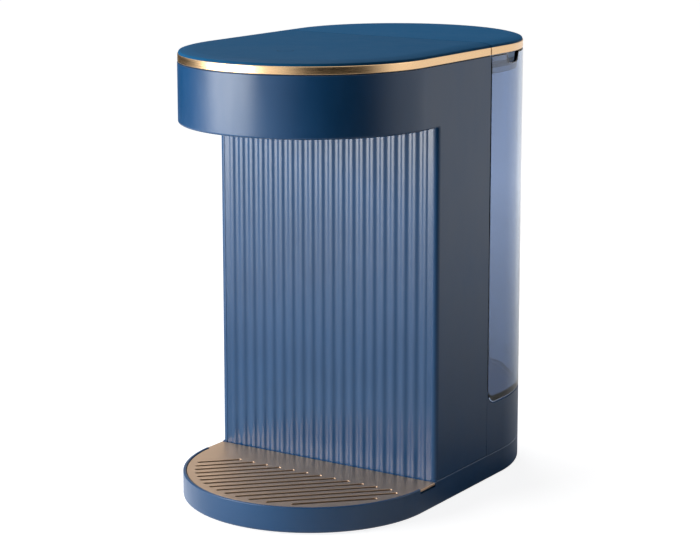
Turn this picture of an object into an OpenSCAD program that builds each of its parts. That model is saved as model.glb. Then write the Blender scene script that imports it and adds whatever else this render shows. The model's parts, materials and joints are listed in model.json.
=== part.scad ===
/* [Outline] */
// Width of the body, which is also twice the radius of its round ends
body_w = 134; // [132:1:136]
// Depth of the body from the front of the head to the back of the tank
body_l = 217; // [214:1:220]
// Height from the table to the top panel
body_h = 233.4; // [230:0.2:238]

/* [Levels] */
// Height of the rubber feet that show under the base
foot_h = 1.2; // [0.8:0.1:1.4]
// Height of the rim round the drip tray
base_top = 14.5; // [14.5:0.1:16]
// Underside of the head's skirt
head_bottom = 196; // [190:1:200]
// Height of the metal trim band
trim_h = 4; // [3:0.5:5]
// Rise of the top from its edge to its level middle
crown_h = 2.2; // [1.6:0.1:2.6]
// Top of the dock's rim under the tank
dock_top = 41.7; // [41:0.1:42.5]

/* [Front and back] */
// Distance from the centre to the column's front edges
column_front = 29; // [28:0.5:30]
// Distance from the centre to the back of the column
column_back = 24; // [23.5:0.5:24.5]
// Round of the column's two front edges
column_round = 2.6; // [1.6:0.1:2.6]
// Length of the drip grille's two side tabs along the rim
tab_l = 14.5; // [12:0.5:16]

/* [Walls] */
// Wall of the main housing
housing_wall = 3.2; // [2.8:0.1:3.4]
// Wall of the water tank
tank_wall = 2.2; // [1.8:0.1:2.4]
// Width of the base's rim round the drip tray
rim_w = 1.6; // [1.4:0.1:2]

/* [Fluted panel] */
// Number of flutes across the panel
flute_count = 20; // [16:1:24]
// Height of a flute above the valley beside it
flute_depth = 0.6; // [0.4:0.05:0.8]

/* [Drip grille] */
// Number of diagonal slots
slot_count = 14; // [10:1:14]
// Distance from slot to slot, square to their length
slot_pitch = 6; // [5.5:0.1:6.2]
// Width of a slot
slot_w = 2.4; // [1.8:0.1:3]
// Thickness of the grille plate
grille_t = 1.2; // [1:0.1:1.5]

/* [Water path] */
// Outer radius of the barbs and of the heater's tube
barb_r = 3; // [2.8:0.1:3.2]
// Radius of the water way through them
way_r = 2; // [1.6:0.1:2.2]
// Wall of the silicone hoses
hose_wall = 1.8; // [1.4:0.1:2]
// Lift of the tank valve when the tank stands on the dock
valve_lift = 3; // [2.5:0.1:3]

/* [Cord gland] */
// Radius of the gland's bore
gland_r = 3.3; // [3:0.1:3.5]

/* [Hidden] */
$fn = 96;

// A hair of extra length, so that cutters pass their faces
eps = 0.5;
// Gap between pieces that move apart
gap = 0.3;
// Shadow line between two mouldings
seam = 0.3;

r_out = body_w / 2;
arc_y = body_l / 2 - r_out;
front_y = -column_front;
back_y = column_back;
tank_y = back_y + 0.7;
wall_in = r_out - housing_wall;

crown_w = 8;
edge_r = 1.2;
crown_turn = 2 * atan((crown_h - edge_r) / (crown_w - edge_r));
crown_r = edge_r + (crown_w - edge_r) / sin(crown_turn);
crown_z = body_h - crown_h;
trim_top = crown_z - 0.2;
trim_bottom = trim_top - trim_h;
housing_top = trim_bottom - 0.4;
trim_t = 1.75;
trim_out = r_out - 0.15;
flange_out = r_out - 0.5;
plate_out = r_out - 2.3;
plate_bottom = trim_top - 1.2;

floor_t = 2;
floor_top = foot_h + floor_t;
grille_top = base_top - 0.3;
grille_bottom = grille_top - grille_t;
tray_r = r_out - rim_w;
pan_top = grille_bottom - gap;
pan_bottom = floor_top + 0.4;
pan_t = 1.2;
tab_front = front_y - tab_l;

flute_crest = front_y + 0.4;
flute_mid = flute_crest + flute_depth / 2;
flute_pitch = 2 * (wall_in - 1.2) / flute_count;
flute_r = (flute_pitch * flute_pitch / 4 + flute_depth * flute_depth) / (4 * flute_depth);
panel_back = flute_crest + flute_depth + 2.5;

underside_z = head_bottom + 2.5;
underside_t = 2;
spout_y = -60;
chamber_z = 205;
outlet_z = 211;

deck_t = 2;
deck_top = dock_top - 1.4;
ear_r = 8;
tank_bottom = dock_top + 0.5;
tank_corner = ear_r - 0.5;
tank_floor = tank_bottom + 3;
tank_top = trim_bottom - 0.5;
tank_in = r_out - tank_wall;
notch_y = 48.5;
notch_w = 14;
notch_depth = 5;
skirt_out = tank_in - 1;
skirt_t = 1.7;
skirt_bottom = trim_bottom - 10;

valve_y = 50;
valve_r = 8.95;
seat_z = deck_top - 3.8;
valve_bottom = seat_z - 2;
pin_top = valve_bottom + 0.5;

hose_in = barb_r + 0.02;
hose_out = barb_r + hose_wall;
low_z = 12;
bend_r = 8;
pump_x = -38;
pump_y = 7;
pump_r = 13;
cavity_r = 10.6;
pump_base = 32;
line_y = -1;
line_z = pump_base + 6.5;
heater_x = 44;
heater_bottom = 80;
heater_top = 172;
heater_w = 32;
heater_d = 22;
meter_x = -4;
meter_l = 22;
meter_r = 7.5;
meter_cavity = 5.6;
board_z = trim_top - 9;
screw_r = 1.5;

color_navy = "#22375c";
color_tank = "#8fa6cf";
color_gold = "#d9b27a";
color_dark = "#20242c";
color_metal = "#b8bcc2";
color_rubber = "#2b2d31";
color_hose = "#e6e3da";
color_board = "#1f6b45";

// The body's outline, drawn in by inset all round
module outline(inset = 0) {
    r = r_out - inset;
    for (s = [-1, 1]) translate([0, s * arc_y]) circle(r);
    square([2 * r, 2 * arc_y], center = true);
}

// What of a flat shape lies between two distances along the body
module between(y0, y1) {
    intersection() {
        children();
        translate([-r_out - 1, y0]) square([2 * r_out + 2, y1 - y0]);
    }
}

// A plate with the outline of the body, cut off square at y0 and y1
module plate(inset, y0, y1, z0, z1) {
    translate([0, 0, z0]) linear_extrude(z1 - z0) between(y0, y1) outline(inset);
}

// A wall that runs round the front end as far back as y_end, from its section
module front_wall(y_end) {
    translate([0, -arc_y, 0]) rotate([0, 0, 180]) rotate_extrude(angle = 180) children();
    straight_walls(-arc_y, y_end) children();
}

// The same round the back end, from y_start
module rear_wall_run(y_start) {
    translate([0, arc_y, 0]) rotate_extrude(angle = 180) children();
    straight_walls(y_start, arc_y) children();
}

module straight_walls(y0, y1) {
    for (m = [0, 1]) mirror([m, 0, 0])
        translate([0, y1, 0]) rotate([90, 0, 0]) linear_extrude(y1 - y0) children();
}

// A rectangle in a section, with true round corners
module soft_rect(x0, z0, x1, z1, r) {
    translate([x0 + r, z0]) square([x1 - x0 - 2 * r, z1 - z0]);
    translate([x0, z0 + r]) square([x1 - x0, z1 - z0 - 2 * r]);
    for (x = [x0 + r, x1 - r], z = [z0 + r, z1 - r]) translate([x, z]) circle(r, $fn = 32);
}

// A box between two corners
module block(a, b) {
    translate(a) cube(b - a);
}

// A box with round upright edges
module soft_block(a, b, r) {
    translate([0, 0, a.z]) linear_extrude(b.z - a.z) soft_rect(a.x, a.y, b.x, b.y, r);
}

// Upright and lying cylinders
module post(x, y, z0, z1, r) {
    translate([x, y, z0]) cylinder(h = z1 - z0, r = r);
}
module bar_x(x0, x1, y, z, r) {
    translate([x0, y, z]) rotate([0, 90, 0]) cylinder(h = x1 - x0, r = r);
}
module bar_y(x, y0, y1, z, r) {
    translate([x, y1, z]) rotate([90, 0, 0]) cylinder(h = y1 - y0, r = r);
}

// A hose's quarter bend. Before it is turned it starts at the origin, heads up and
// ends heading along +X; at is its start, and first and then are the turns it gets.
module elbow(at, first, then = [0, 0, 0]) {
    translate(at) rotate(then) rotate(first)
        translate([bend_r, 0, 0]) rotate([90, 0, 180]) rotate_extrude(angle = 90)
            translate([bend_r, 0]) difference() {
                circle(hose_out, $fn = 48);
                circle(hose_in, $fn = 48);
            }
}
module run_z(x, y, z0, z1) {
    difference() {
        post(x, y, z0, z1, hose_out);
        post(x, y, z0 - eps, z1 + eps, hose_in);
    }
}
module run_x(x0, x1, y, z) {
    difference() {
        bar_x(x0, x1, y, z, hose_out);
        bar_x(x0 - eps, x1 + eps, y, z, hose_in);
    }
}
module run_y(x, y0, y1, z) {
    difference() {
        bar_y(x, y0, y1, z, hose_out);
        bar_y(x, y0 - eps, y1 + eps, z, hose_in);
    }
}

// A coil spring: one unbroken round wire with closed ends
coil_rings = 8;
coil_sides = 6;
module coil(r, wire, turns, h) {
    n = turns * coil_rings;
    points = [for (i = [0 : n], j = [0 : coil_sides - 1])
        let (a = i * 360 / coil_rings, b = j * 360 / coil_sides, d = r + wire * cos(b))
        [d * cos(a), d * sin(a), wire + (h - 2 * wire) * i / n + wire * sin(b)]];
    sides = [for (i = [0 : n - 1], j = [0 : coil_sides - 1])
        let (k = (j + 1) % coil_sides, p = i * coil_sides, q = p + coil_sides)
        each [[p + j, q + j, q + k], [p + j, q + k, p + k]]];
    caps = [[for (j = [0 : coil_sides - 1]) j],
        [for (j = [coil_sides - 1 : -1 : 0]) n * coil_sides + j]];
    polyhedron(points, concat(sides, caps));
}

// Positions of the feet and of the two rows of screws from below
foot_places = [[-44, -68], [44, -68], [-44, 68], [44, 68]];
housing_bosses = [[-56, -16], [56, -16], [-56, 14], [56, 14]];
dock_bosses = [[-50, 44], [50, 44], [-24, 88], [24, 88]];
boss_r = 4.6;
head_z = foot_h + 1.4;
tongue_t = 1.5;
tongue_top = 18;
ledge_z = foot_h + 3.4;

module base_tub() color(color_navy) {
    difference() {
        union() {
            plate(0, -body_l, body_l, foot_h + 1.5, floor_top);
            plate(1.5, -body_l, body_l, foot_h, floor_top);
            front_wall(front_y) base_section(rim_w);
            rear_wall_run(front_y) base_section(housing_wall);
            rear_wall_run(panel_back + 0.1) translate([wall_in - tongue_t, floor_top - eps])
                square([tongue_t, tongue_top - floor_top + eps]);
            block([-wall_in, flute_crest, floor_top - eps], [wall_in, panel_back, base_top - 0.2]);
            for (p = concat(housing_bosses, dock_bosses)) post(p.x, p.y, floor_top - eps, 8, boss_r);
        }
        for (s = [-1, 1]) translate([s * r_out, 0, 0])
            block([-rim_w - 1, tab_front, grille_bottom - 1], [rim_w + 1, front_y, base_top + 1]);
        for (p = foot_places) post(p.x, p.y, 0, foot_h + 0.8, 7.05);
        for (p = concat(housing_bosses, dock_bosses)) {
            post(p.x, p.y, 0, ledge_z, 3.3);
            post(p.x, p.y, 0, 9, screw_r + 0.2);
        }
        bar_y(0, arc_y, body_l, low_z - 3.6, 4.4);
        for (x = [-24 : 8 : 24]) soft_block([x - 1.5, -12, 0], [x + 1.5, 12, floor_top + 1], 1.4);
    }
}
// Upright wall of the base, with a rounded foot and a softened rim
module base_section(t) {
    difference() {
        soft_rect(r_out - 4, foot_h, r_out, base_top, 1.5);
        translate([0, -1]) square([r_out - t, base_top + 2]);
        translate([r_out - 5, base_top - 1.6]) square([6, 3]);
    }
    soft_rect(r_out - t, base_top - 4, r_out, base_top, 0.5);
}

module rubber_feet() color(color_rubber) {
    for (p = foot_places) translate([p.x, p.y, 0]) rotate_extrude() difference() {
        square([7, foot_h + 0.8]);
        translate([7, 0]) circle(0.5, $fn = 32);
        translate([2, -0.4]) circle(0.7, $fn = 32);
    }
}

module base_screws() color(color_metal) {
    for (p = housing_bosses) screw(p, 20);
    for (p = dock_bosses) screw(p, 18);
}
module screw(p, top) {
    difference() {
        post(p.x, p.y, head_z, ledge_z, 2.8);
        translate([p.x, p.y, head_z - 1]) for (a = [0, 90]) rotate([0, 0, a])
            translate([-1.7, -0.35, 0]) cube([3.4, 0.7, 2]);
    }
    post(p.x, p.y, ledge_z, top, screw_r);
}

module cord_gland() color(color_rubber) {
    difference() {
        union() {
            bar_y(0, 98, 108.2, low_z - 3.6, 4.4);
            bar_y(0, 98, 103.6, low_z - 3.6, 5.1);
        }
        bar_y(0, 90, 112, low_z - 3.6, gland_r);
    }
}

module main_housing() color(color_navy) {
    difference() {
        union() {
            front_wall(front_y) head_section();
            straight_walls(front_y, back_y) column_section();
            for (p = housing_bosses) {
                post(p.x, p.y, 8, 26, boss_r - 0.6);
                block([p.x > 0 ? p.x : -wall_in - eps, p.y - 1, 18],
                    [p.x > 0 ? wall_in + eps : p.x, p.y + 1, 26]);
            }
            for (y = [-10, 8], z = [board_low + 6, board_high - 6])
                bar_x(-wall_in - eps, board_x, y, z, 2.6);
            for (s = [-1, 1], z = [60, 150, 212])
                block([s > 0 ? wall_in - 5 : -wall_in - eps, back_y - 5.4, z],
                    [s > 0 ? wall_in + eps : 5 - wall_in, back_y - 2.4, z + 12]);
        }
        for (p = housing_bosses) post(p.x, p.y, 7, 22, screw_r);
        for (s = [-1, 1], z = [60, 150, 212]) bar_y(s * (wall_in - 3), back_y - 6, back_y, z + 6, 1);
        column_edge_cut();
    }
}
// What the round of the column's front edges takes away, as far up as the head
module column_edge_cut() {
    for (m = [0, 1]) mirror([m, 0, 0])
        translate([r_out - column_round, front_y + column_round, base_top])
            linear_extrude(head_bottom - base_top) difference() {
                translate([0, -column_round - 1]) square([column_round + 1, column_round + 1]);
                circle(column_round, $fn = 64);
            }
}
// The head's wall has a soft lower edge and a ledge for the trim to stand on
module head_section() {
    difference() {
        soft_rect(wall_in - 1.2, head_bottom, r_out, housing_top, 1.2);
        translate([0, head_bottom - 1]) square([wall_in, housing_top]);
        translate([r_out - 6, housing_top - 2]) square([8, 3]);
    }
    translate([wall_in, housing_top - 3]) square([housing_wall, 3]);
    trim_ledge();
}
module column_section() {
    translate([wall_in, base_top + seam]) square([housing_wall, housing_top - base_top - seam]);
    trim_ledge();
}
module trim_ledge() {
    translate([wall_in, housing_top - eps]) square([2, trim_bottom - housing_top + eps]);
}

// A soft wave: round crests stand on the mid line and round valleys are cut below it
module fluted_panel() color("#5f75a3") {
    translate([0, 0, base_top - 0.2]) linear_extrude(underside_z + underside_t - base_top + 0.2) {
        difference() {
            translate([0.1 - wall_in, flute_mid]) square([2 * wall_in - 0.2, panel_back - flute_mid]);
            for (i = [1 : flute_count - 1]) translate([(i - flute_count / 2) * flute_pitch,
                flute_crest + flute_depth - flute_r]) circle(flute_r, $fn = 120);
        }
        for (i = [0 : flute_count - 1]) translate([(i - (flute_count - 1) / 2) * flute_pitch, 0])
            intersection() {
                translate([0, flute_crest + flute_r]) circle(flute_r, $fn = 120);
                translate([-flute_pitch / 2, flute_crest - 1]) square([flute_pitch, flute_depth / 2 + 1]);
            }
    }
}

post_places = [[-34, -78], [34, -78], [-34, -36], [34, -36]];
module head_underside() color(color_navy) {
    difference() {
        union() {
            plate(housing_wall, -body_l, flute_crest - 0.1, underside_z, underside_z + underside_t);
            post(0, spout_y, underside_z - 1.5, chamber_z, 13);
            for (p = post_places) post(p.x, p.y, underside_z, board_z, 2.6);
            for (x = [-50, -25, 25, 50])
                block([x - 0.8, x * x > 2000 ? -68 : -88, underside_z], [x + 0.8, front_y - 1, 206]);
        }
        post(0, spout_y, head_bottom - 5, chamber_z + 1, 9.05);
        translate([0, spout_y, underside_z - 2]) cylinder(h = 2.5, r1 = 11.6, r2 = 9.05);
    }
}

// The spout hangs in the underside and narrows to its mouth
module spout() color(color_rubber) {
    translate([0, spout_y, 0]) rotate_extrude() difference() {
        union() {
            translate([0, head_bottom - 3]) square([6, 8]);
            translate([0, head_bottom + 3]) square([9, chamber_z - head_bottom - 3]);
            translate([6, head_bottom + 0.5]) soft_rect(-1, -3.5, 1, 3, 0.9);
        }
        translate([-1, head_bottom - 6]) square([1 + 3.2, 30]);
        translate([-1, head_bottom + 6]) square([1 + 5, 30]);
    }
}

module outlet_chamber() color(color_hose) {
    difference() {
        union() {
            post(0, spout_y, chamber_z, chamber_z + 12, 11);
            bar_x(0, 21, spout_y, outlet_z, barb_r);
            bar_x(0, 12.5, spout_y, outlet_z, barb_r + 1.5);
        }
        post(0, spout_y, chamber_z - 1, chamber_z + 10.5, 9.2);
        bar_x(0, 22, spout_y, outlet_z, way_r);
    }
    difference() {
        post(0, spout_y, chamber_z, chamber_z + 5, 6);
        post(0, spout_y, chamber_z - 1, chamber_z + 6, 5);
    }
    for (a = [0 : 90 : 270]) translate([0, spout_y, chamber_z]) rotate([0, 0, a + 45])
        translate([5.5, -0.5, 0]) cube([4, 1, 2]);
}

// Top panels: a plate and a flange that covers the trim. The flange is rounded at its
// edge and goes on rising gently until the top is level.
module cover_section() {
    translate([0, plate_bottom]) square([plate_out, trim_top + eps - plate_bottom]);
    difference() {
        translate([0, trim_top]) square([flange_out, body_h - trim_top]);
        translate([flange_out - crown_w, body_h - crown_r]) difference() {
            square(crown_r + 1);
            circle(crown_r, $fn = 360);
        }
        translate([flange_out - edge_r, crown_z]) difference() {
            translate([edge_r * sin(crown_turn), 0]) square(crown_h + 1);
            circle(edge_r, $fn = 64);
        }
    }
}
module top_panel() color("#24507a") {
    front_wall(back_y) cover_section();
    difference() {
        soft_block([-26, -96, plate_bottom - 1.2], [26, -4, plate_bottom], 3);
        soft_block([-24.5, -94.5, plate_bottom - 2], [24.5, -5.5, plate_bottom + eps - 0.5], 2);
    }
}
module trim_section() {
    soft_rect(trim_out - trim_t, trim_bottom, trim_out, trim_top, 0.3);
    translate([trim_out - trim_t, trim_bottom]) square([trim_t - 0.4, trim_h]);
}
module front_trim() color(color_gold) {
    front_wall(back_y) trim_section();
}

module rear_wall() color(color_navy) {
    difference() {
        union() {
            block([-wall_in, back_y - 2.4, base_top + seam], [wall_in, back_y, trim_bottom]);
            for (x = [-20, 16]) block([x, back_y - 4, 60], [x + 1.6, back_y, 200]);
        }
        window([pump_x - 9, base_top - 4], [pump_x + 9, 24], 3);
        for (s = [-1, 1]) translate([s * wall_in, 0, 0])
            block([-tongue_t - 0.1, back_y - 3, base_top], [tongue_t + 0.1, back_y + 1, tongue_top + 0.1]);
        for (s = [-1, 1], z = [60, 150, 212]) bar_y(s * (wall_in - 3), back_y - 6, back_y + 1, z + 6, 1.25);
        for (s = [-1, 1], z = [60, 150, 212]) translate([s * (wall_in - 3), back_y + 0.01, z + 6])
            rotate([90, 0, 0]) cylinder(h = 1.2, r1 = 2.3, r2 = 1.25);
    }
}
// An opening through the rear wall
module window(a, b, r) {
    translate([0, back_y + 1, 0]) rotate([90, 0, 0]) linear_extrude(8) soft_rect(a.x, a.y, b.x, b.y, r);
}
module wall_screws() color(color_metal) {
    for (s = [-1, 1], z = [60, 150, 212]) translate([s * (wall_in - 3), back_y - 0.1, z + 6])
        rotate([90, 0, 0]) {
            difference() {
                cylinder(h = 1.1, r1 = 2.2, r2 = 1.2);
                translate([-1.5, -0.3, -1]) cube([3, 0.6, 1.6]);
            }
            cylinder(h = 5.2, r = 1);
        }
}

// Lower rear shell: wall, deck and the two ears that hold the tank's front corners
module tank_dock() color(color_navy) {
    difference() {
        union() {
            rear_wall_run(back_y) dock_section();
            plate(housing_wall - 0.5, back_y, body_l, deck_top - deck_t, deck_top);
            for (s = [-1, 1]) mirror([s > 0 ? 0 : 1, 0, 0]) dock_ear();
            for (p = dock_bosses) post(p.x, p.y, 8, deck_top - 1, boss_r - 0.6);
            for (x = [-30, 30]) block([x - 0.8, 56, deck_top - 8], [x + 0.8, 84, deck_top - 1]);
        }
        post(0, valve_y, 0, dock_top + 1, 14.05);
        for (p = dock_bosses) post(p.x, p.y, 7, 20, screw_r);
    }
}
module dock_section() {
    difference() {
        union() {
            translate([wall_in, base_top + seam])
                square([housing_wall, dock_top - base_top - seam - 0.8]);
            translate([wall_in, dock_top - 1]) square([housing_wall - 0.8, 1]);
            translate([r_out - 0.8, dock_top - 0.8]) circle(0.8, $fn = 32);
        }
        translate([wall_in - 1, base_top - 2]) square([1, 4]);
    }
}
module dock_ear() {
    translate([wall_in, 0, 0]) rotate([90, 0, 90]) linear_extrude(housing_wall) difference() {
        translate([back_y, dock_top - 2]) square([ear_r + 0.2, ear_r + 2]);
        translate([tank_y + tank_corner, dock_top + ear_r]) circle(ear_r);
        translate([tank_y + tank_corner, dock_top]) square([2, ear_r]);
        translate([back_y + 0.5, dock_top + ear_r - 1]) square([1, 2]);
    }
}

// Cup under the tank valve, with the pin that lifts it
module dock_socket() color(color_dark) {
    difference() {
        union() {
            post(0, valve_y, deck_top - 12.3, deck_top, 14);
            post(0, valve_y, deck_top, deck_top + 1.1, 17);
            post(0, valve_y, low_z + bend_r + 0.5, deck_top - 12, barb_r);
        }
        post(0, valve_y, deck_top - 10.3, deck_top + 2, 11.5);
        post(0, valve_y, low_z + bend_r, deck_top, way_r);
    }
    translate([0, valve_y, deck_top - 10.8]) linear_extrude(2.4) intersection() {
        circle(12.5);
        for (a = [0 : 120 : 240]) rotate(a + 30) translate([0, -0.6]) square([13, 1.2]);
    }
    post(0, valve_y, deck_top - 10.8, pin_top, 1.2);
}
module dock_seal() color("#9aa0a8") {
    translate([0, valve_y, 0]) rotate_extrude() polygon([[11.5, deck_top - 7], [11.5, deck_top - 1],
        [10.2, deck_top - 1], [10.2, deck_top - 2], [10.7, deck_top - 3], [10.2, deck_top - 4],
        [10.2, deck_top - 5], [10.9, deck_top - 7]]);
}

module control_board() color(color_board) {
    difference() {
        soft_block([-39, -84, board_z], [39, -8, board_z + 1.6], 3);
        for (p = post_places) post(p.x, p.y, board_z - 1, board_z + 0.8, 0.6);
    }
    for (x = [-30, -18, 12, 24]) block([x, -34, board_z - 1.6], [x + 7, -25, board_z]);
    block([plug_x, -19, board_z - 5], [plug_x + 8, -8, board_z]);
}
touch_places = [[-18, -20], [18, -20], [-18, -70], [18, -70]];
module touch_springs() color(color_metal) {
    for (p = touch_places) translate([p.x, p.y, board_z + 1.6])
        coil(2.6, 0.3, 3, plate_bottom - board_z - 1.6);
}
module light_guide() color("#e8e8e8") {
    difference() {
        soft_block([-14, -52, board_z + 1.6], [14, -38, plate_bottom], 1.5);
        for (x = [-12.6, -3.9, 4.8]) soft_block([x, -50.6, board_z], [x + 7.8, -39.4, board_z + 4.6], 1);
        for (x = [-8.7, 0, 8.7]) post(x, -45, board_z, plate_bottom + 1, 0.8);
    }
}

// Flat cable from the power board up to the control board
module ribbon_cable() color("#5a5f68") {
    x0 = board_x + 4;
    z1 = board_z - 2.4;
    translate([0, -8.5, 0]) rotate([90, 0, 0]) linear_extrude(10) {
        translate([x0, plug_top]) square([1.2, z1 - 6 - plug_top]);
        translate([x0 + 6, z1 - 6]) difference() {
            intersection() {
                circle(6, $fn = 48);
                translate([-7, 0]) square([7, 7]);
            }
            circle(4.8, $fn = 48);
        }
        translate([x0 + 6, z1 - 1.2]) square([plug_x - x0 - 6, 1.2]);
    }
}

board_x = -wall_in + 3;
board_low = 92;
board_high = 186;
plug_top = board_high - 2;
plug_x = -37;
module power_board() color(color_board) {
    block([board_x, -19, board_low], [board_x + 1.6, 17, board_high]);
}
module power_components() color("#3c4149") {
    x = board_x + 1.6;
    block([x, -15, 98], [x + 15, 3, 120]);
    block([x, -16, 146], [x + 12, -4, 166]);
    bar_x(x, x + 16, 9, 106, 5);
    bar_x(x, x + 12, 9, 118, 4);
    block([x, 2, 132], [x + 3, 14, 176]);
    for (z = [134 : 6 : 170]) block([x + 3, 2, z], [x + 13, 14, z + 1.6]);
    block([x, -16, 128], [x + 8, -2, 138]);
    block([x, -19, plug_top - 10], [x + 6, -8, plug_top]);
}
module level_sensor() color(color_board) {
    block([4, back_y - 4, 66], [14, back_y - 2.4, 104]);
    block([6, back_y - 5.2, 72], [12, back_y - 4, 78]);
    block([6, back_y - 5.2, 92], [12, back_y - 4, 98]);
}

// Cast block round the water tube, with the heating element's two ends
module heater_block() color(color_metal) {
    difference() {
        union() {
            translate([heater_x, line_y, heater_bottom]) linear_extrude(heater_top - heater_bottom) {
                circle(heater_d / 2);
                for (s = [-1, 1]) translate([s * (heater_w - 10) / 2, 0]) circle(5.6, $fn = 64);
                square([heater_w - 10, 8], center = true);
            }
            for (z = thermostat_z) bar_y(heater_x, line_y - heater_d / 2, line_y, z, 8.4);
            for (s = [-1, 1]) {
                post(heater_x + s * 11, line_y, heater_top, heater_top + 10, 3.2);
                post(heater_x + s * 11, line_y, heater_top + 10, heater_top + 16, 1.4);
            }
        }
        post(heater_x, line_y, heater_bottom - 1, heater_top + 1, barb_r + 0.01);
    }
}
module water_tube() color("#c9ccd0") {
    difference() {
        post(heater_x, line_y, heater_bottom - 12, heater_top + 20, barb_r);
        post(heater_x, line_y, heater_bottom - 13, heater_top + 21, way_r);
    }
}
module heater_bracket() color(color_metal) {
    for (z = [96, 148]) translate([heater_x, line_y, z]) linear_extrude(9) difference() {
        union() {
            circle(heater_d / 2 + 1.4);
            for (s = [-1, 1]) translate([s * (heater_w - 10) / 2, 0]) circle(7, $fn = 64);
            translate([-1.4, 0]) square([2.8, back_y - 2.4 - line_y]);
            translate([-10, back_y - 3.8 - line_y]) square([20, 1.4]);
        }
        circle(heater_d / 2);
        for (s = [-1, 1]) translate([s * (heater_w - 10) / 2, 0]) circle(5.6, $fn = 64);
        square([heater_w - 10, 8], center = true);
    }
}
thermostat_z = [118, 137];
module thermostats() color("#d8d4c8") {
    for (z = thermostat_z) translate([0, line_y - heater_d / 2, z]) {
        bar_y(heater_x, -5, 0, 0, 7.6);
        for (s = [-1, 1]) block([heater_x + s * 4 - 1.6, -12, -0.4], [heater_x + s * 4 + 1.6, -5, 0.4]);
    }
}
module temperature_sensor() color(color_dark) {
    difference() {
        union() {
            post(heater_x, line_y, heater_top + 3, heater_top + 9, barb_r + 1.4);
            bar_y(heater_x, line_y - 9, line_y, heater_top + 6, 2);
        }
        post(heater_x, line_y, heater_top, heater_top + 12, barb_r);
    }
}

// Centrifugal pump, hung under its motor
module pump_housing() color(color_dark) {
    difference() {
        union() {
            post(pump_x, pump_y, pump_base, pump_base + 14, pump_r);
            bar_x(pump_x, pump_x + 22, line_y, line_z, barb_r);
            bar_x(pump_x, pump_x + 13, line_y, line_z, barb_r + 1.2);
        }
        post(pump_x, pump_y, pump_base - 1, pump_base + 11, cavity_r);
        post(pump_x, pump_y, pump_base, pump_base + 15, 1.06);
        bar_x(pump_x, pump_x + 23, line_y, line_z, way_r);
    }
}
module pump_cover() color(color_dark) {
    difference() {
        union() {
            post(pump_x, pump_y, pump_base - 2.5, pump_base, pump_r);
            post(pump_x, pump_y, pump_base - 11.5, pump_base - 2, barb_r);
        }
        post(pump_x, pump_y, pump_base - 13, pump_base + 1, way_r);
    }
}
module pump_motor() color(color_metal) {
    difference() {
        union() {
            post(pump_x, pump_y, pump_base + 14, pump_base + 46, 11.5);
            post(pump_x, pump_y, pump_base + 46, pump_base + 49, 4.5);
            for (s = [-1, 1]) block([pump_x + s * 7 - 1.2, pump_y - 0.4, pump_base + 46],
                [pump_x + s * 7 + 1.2, pump_y + 0.4, pump_base + 51]);
        }
        post(pump_x, pump_y, pump_base + 13, pump_base + 31, 1.06);
    }
}
module pump_cradle() color(color_rubber) {
    translate([pump_x, pump_y, 56]) linear_extrude(16) difference() {
        union() {
            circle(13.2);
            translate([-16, back_y - 4.4 - pump_y]) square([32, 2]);
            for (s = [-1, 1]) translate([s * 9 - 1.5, 8]) square([3, back_y - 3.4 - pump_y - 8]);
        }
        circle(11.5);
    }
}
// Swept blades under a round shroud
module impeller() color("#dcdcd6") {
    translate([pump_x, pump_y, pump_base]) {
        difference() {
            union() {
                translate([0, 0, 9]) cylinder(h = 1.2, r = 9.6);
                translate([0, 0, 2.6]) cylinder(h = 7.6, r = 2.8);
            }
            translate([0, 0, -1]) cylinder(h = 13, r = 1);
        }
        translate([0, 0, 2.6]) linear_extrude(6.6) for (a = [0 : 60 : 300]) rotate(a) impeller_blade();
    }
}
module impeller_blade() {
    intersection() {
        difference() {
            translate([0, -7]) circle(7.8, $fn = 64);
            translate([0, -7]) circle(6.8, $fn = 64);
        }
        difference() {
            circle(9.4);
            circle(2.4);
        }
        translate([0, -10]) square([11, 20]);
    }
}
module pump_shaft() color(color_metal) {
    post(pump_x, pump_y, pump_base + 1.4, pump_base + 30, 1);
}

// Turbine flow meter in the line to the heater
meter_end = meter_x + meter_l;
module meter_spider(x, t) {
    for (a = [0 : 120 : 240]) translate([x, line_y, line_z]) rotate([a, 0, 0])
        translate([0, -0.5, 0]) cube([t, 1, meter_cavity + 0.6]);
    bar_x(x, x + t, line_y, line_z, 1.6);
}
module flow_meter_body() color("#e4e1d6") {
    difference() {
        union() {
            bar_x(meter_x, meter_end - 5, line_y, line_z, meter_r);
            bar_x(meter_x - 8, meter_x + 1, line_y, line_z, barb_r);
            block([meter_x + 5, line_y - 3, line_z + 5], [meter_x + 13, line_y + 3, line_z + 10]);
        }
        bar_x(meter_x + 1.5, meter_end, line_y, line_z, meter_cavity);
        bar_x(meter_x - 9, meter_x + 5, line_y, line_z, way_r);
    }
    difference() {
        meter_spider(meter_x + 2.5, 2);
        bar_x(meter_x, meter_x + 9, line_y, line_z, 0.85);
    }
}
module flow_meter_cap() color("#e4e1d6") {
    difference() {
        union() {
            bar_x(meter_end - 5, meter_end, line_y, line_z, meter_r);
            bar_x(meter_end - 1, meter_end + 8, line_y, line_z, barb_r);
        }
        bar_x(meter_end - 6, meter_end - 1.5, line_y, line_z, meter_cavity);
        bar_x(meter_end - 5, meter_end + 9, line_y, line_z, way_r);
    }
    difference() {
        meter_spider(meter_end - 4.8, 2);
        bar_x(meter_end - 9, meter_end, line_y, line_z, 0.85);
    }
}
module flow_turbine() color("#3a3f47") {
    x0 = meter_x + 5;
    x1 = meter_end - 5.3;
    bar_x(meter_x + 3, meter_end - 3.4, line_y, line_z, 0.8);
    bar_x(x0, x1, line_y, line_z, 1.8);
    for (a = [0 : 60 : 300]) translate([(x0 + x1) / 2, line_y, line_z]) rotate([a, 0, 0])
        rotate([0, 0, 28]) translate([-4, -0.4, 1]) cube([8, 0.8, 3.9]);
}

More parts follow.
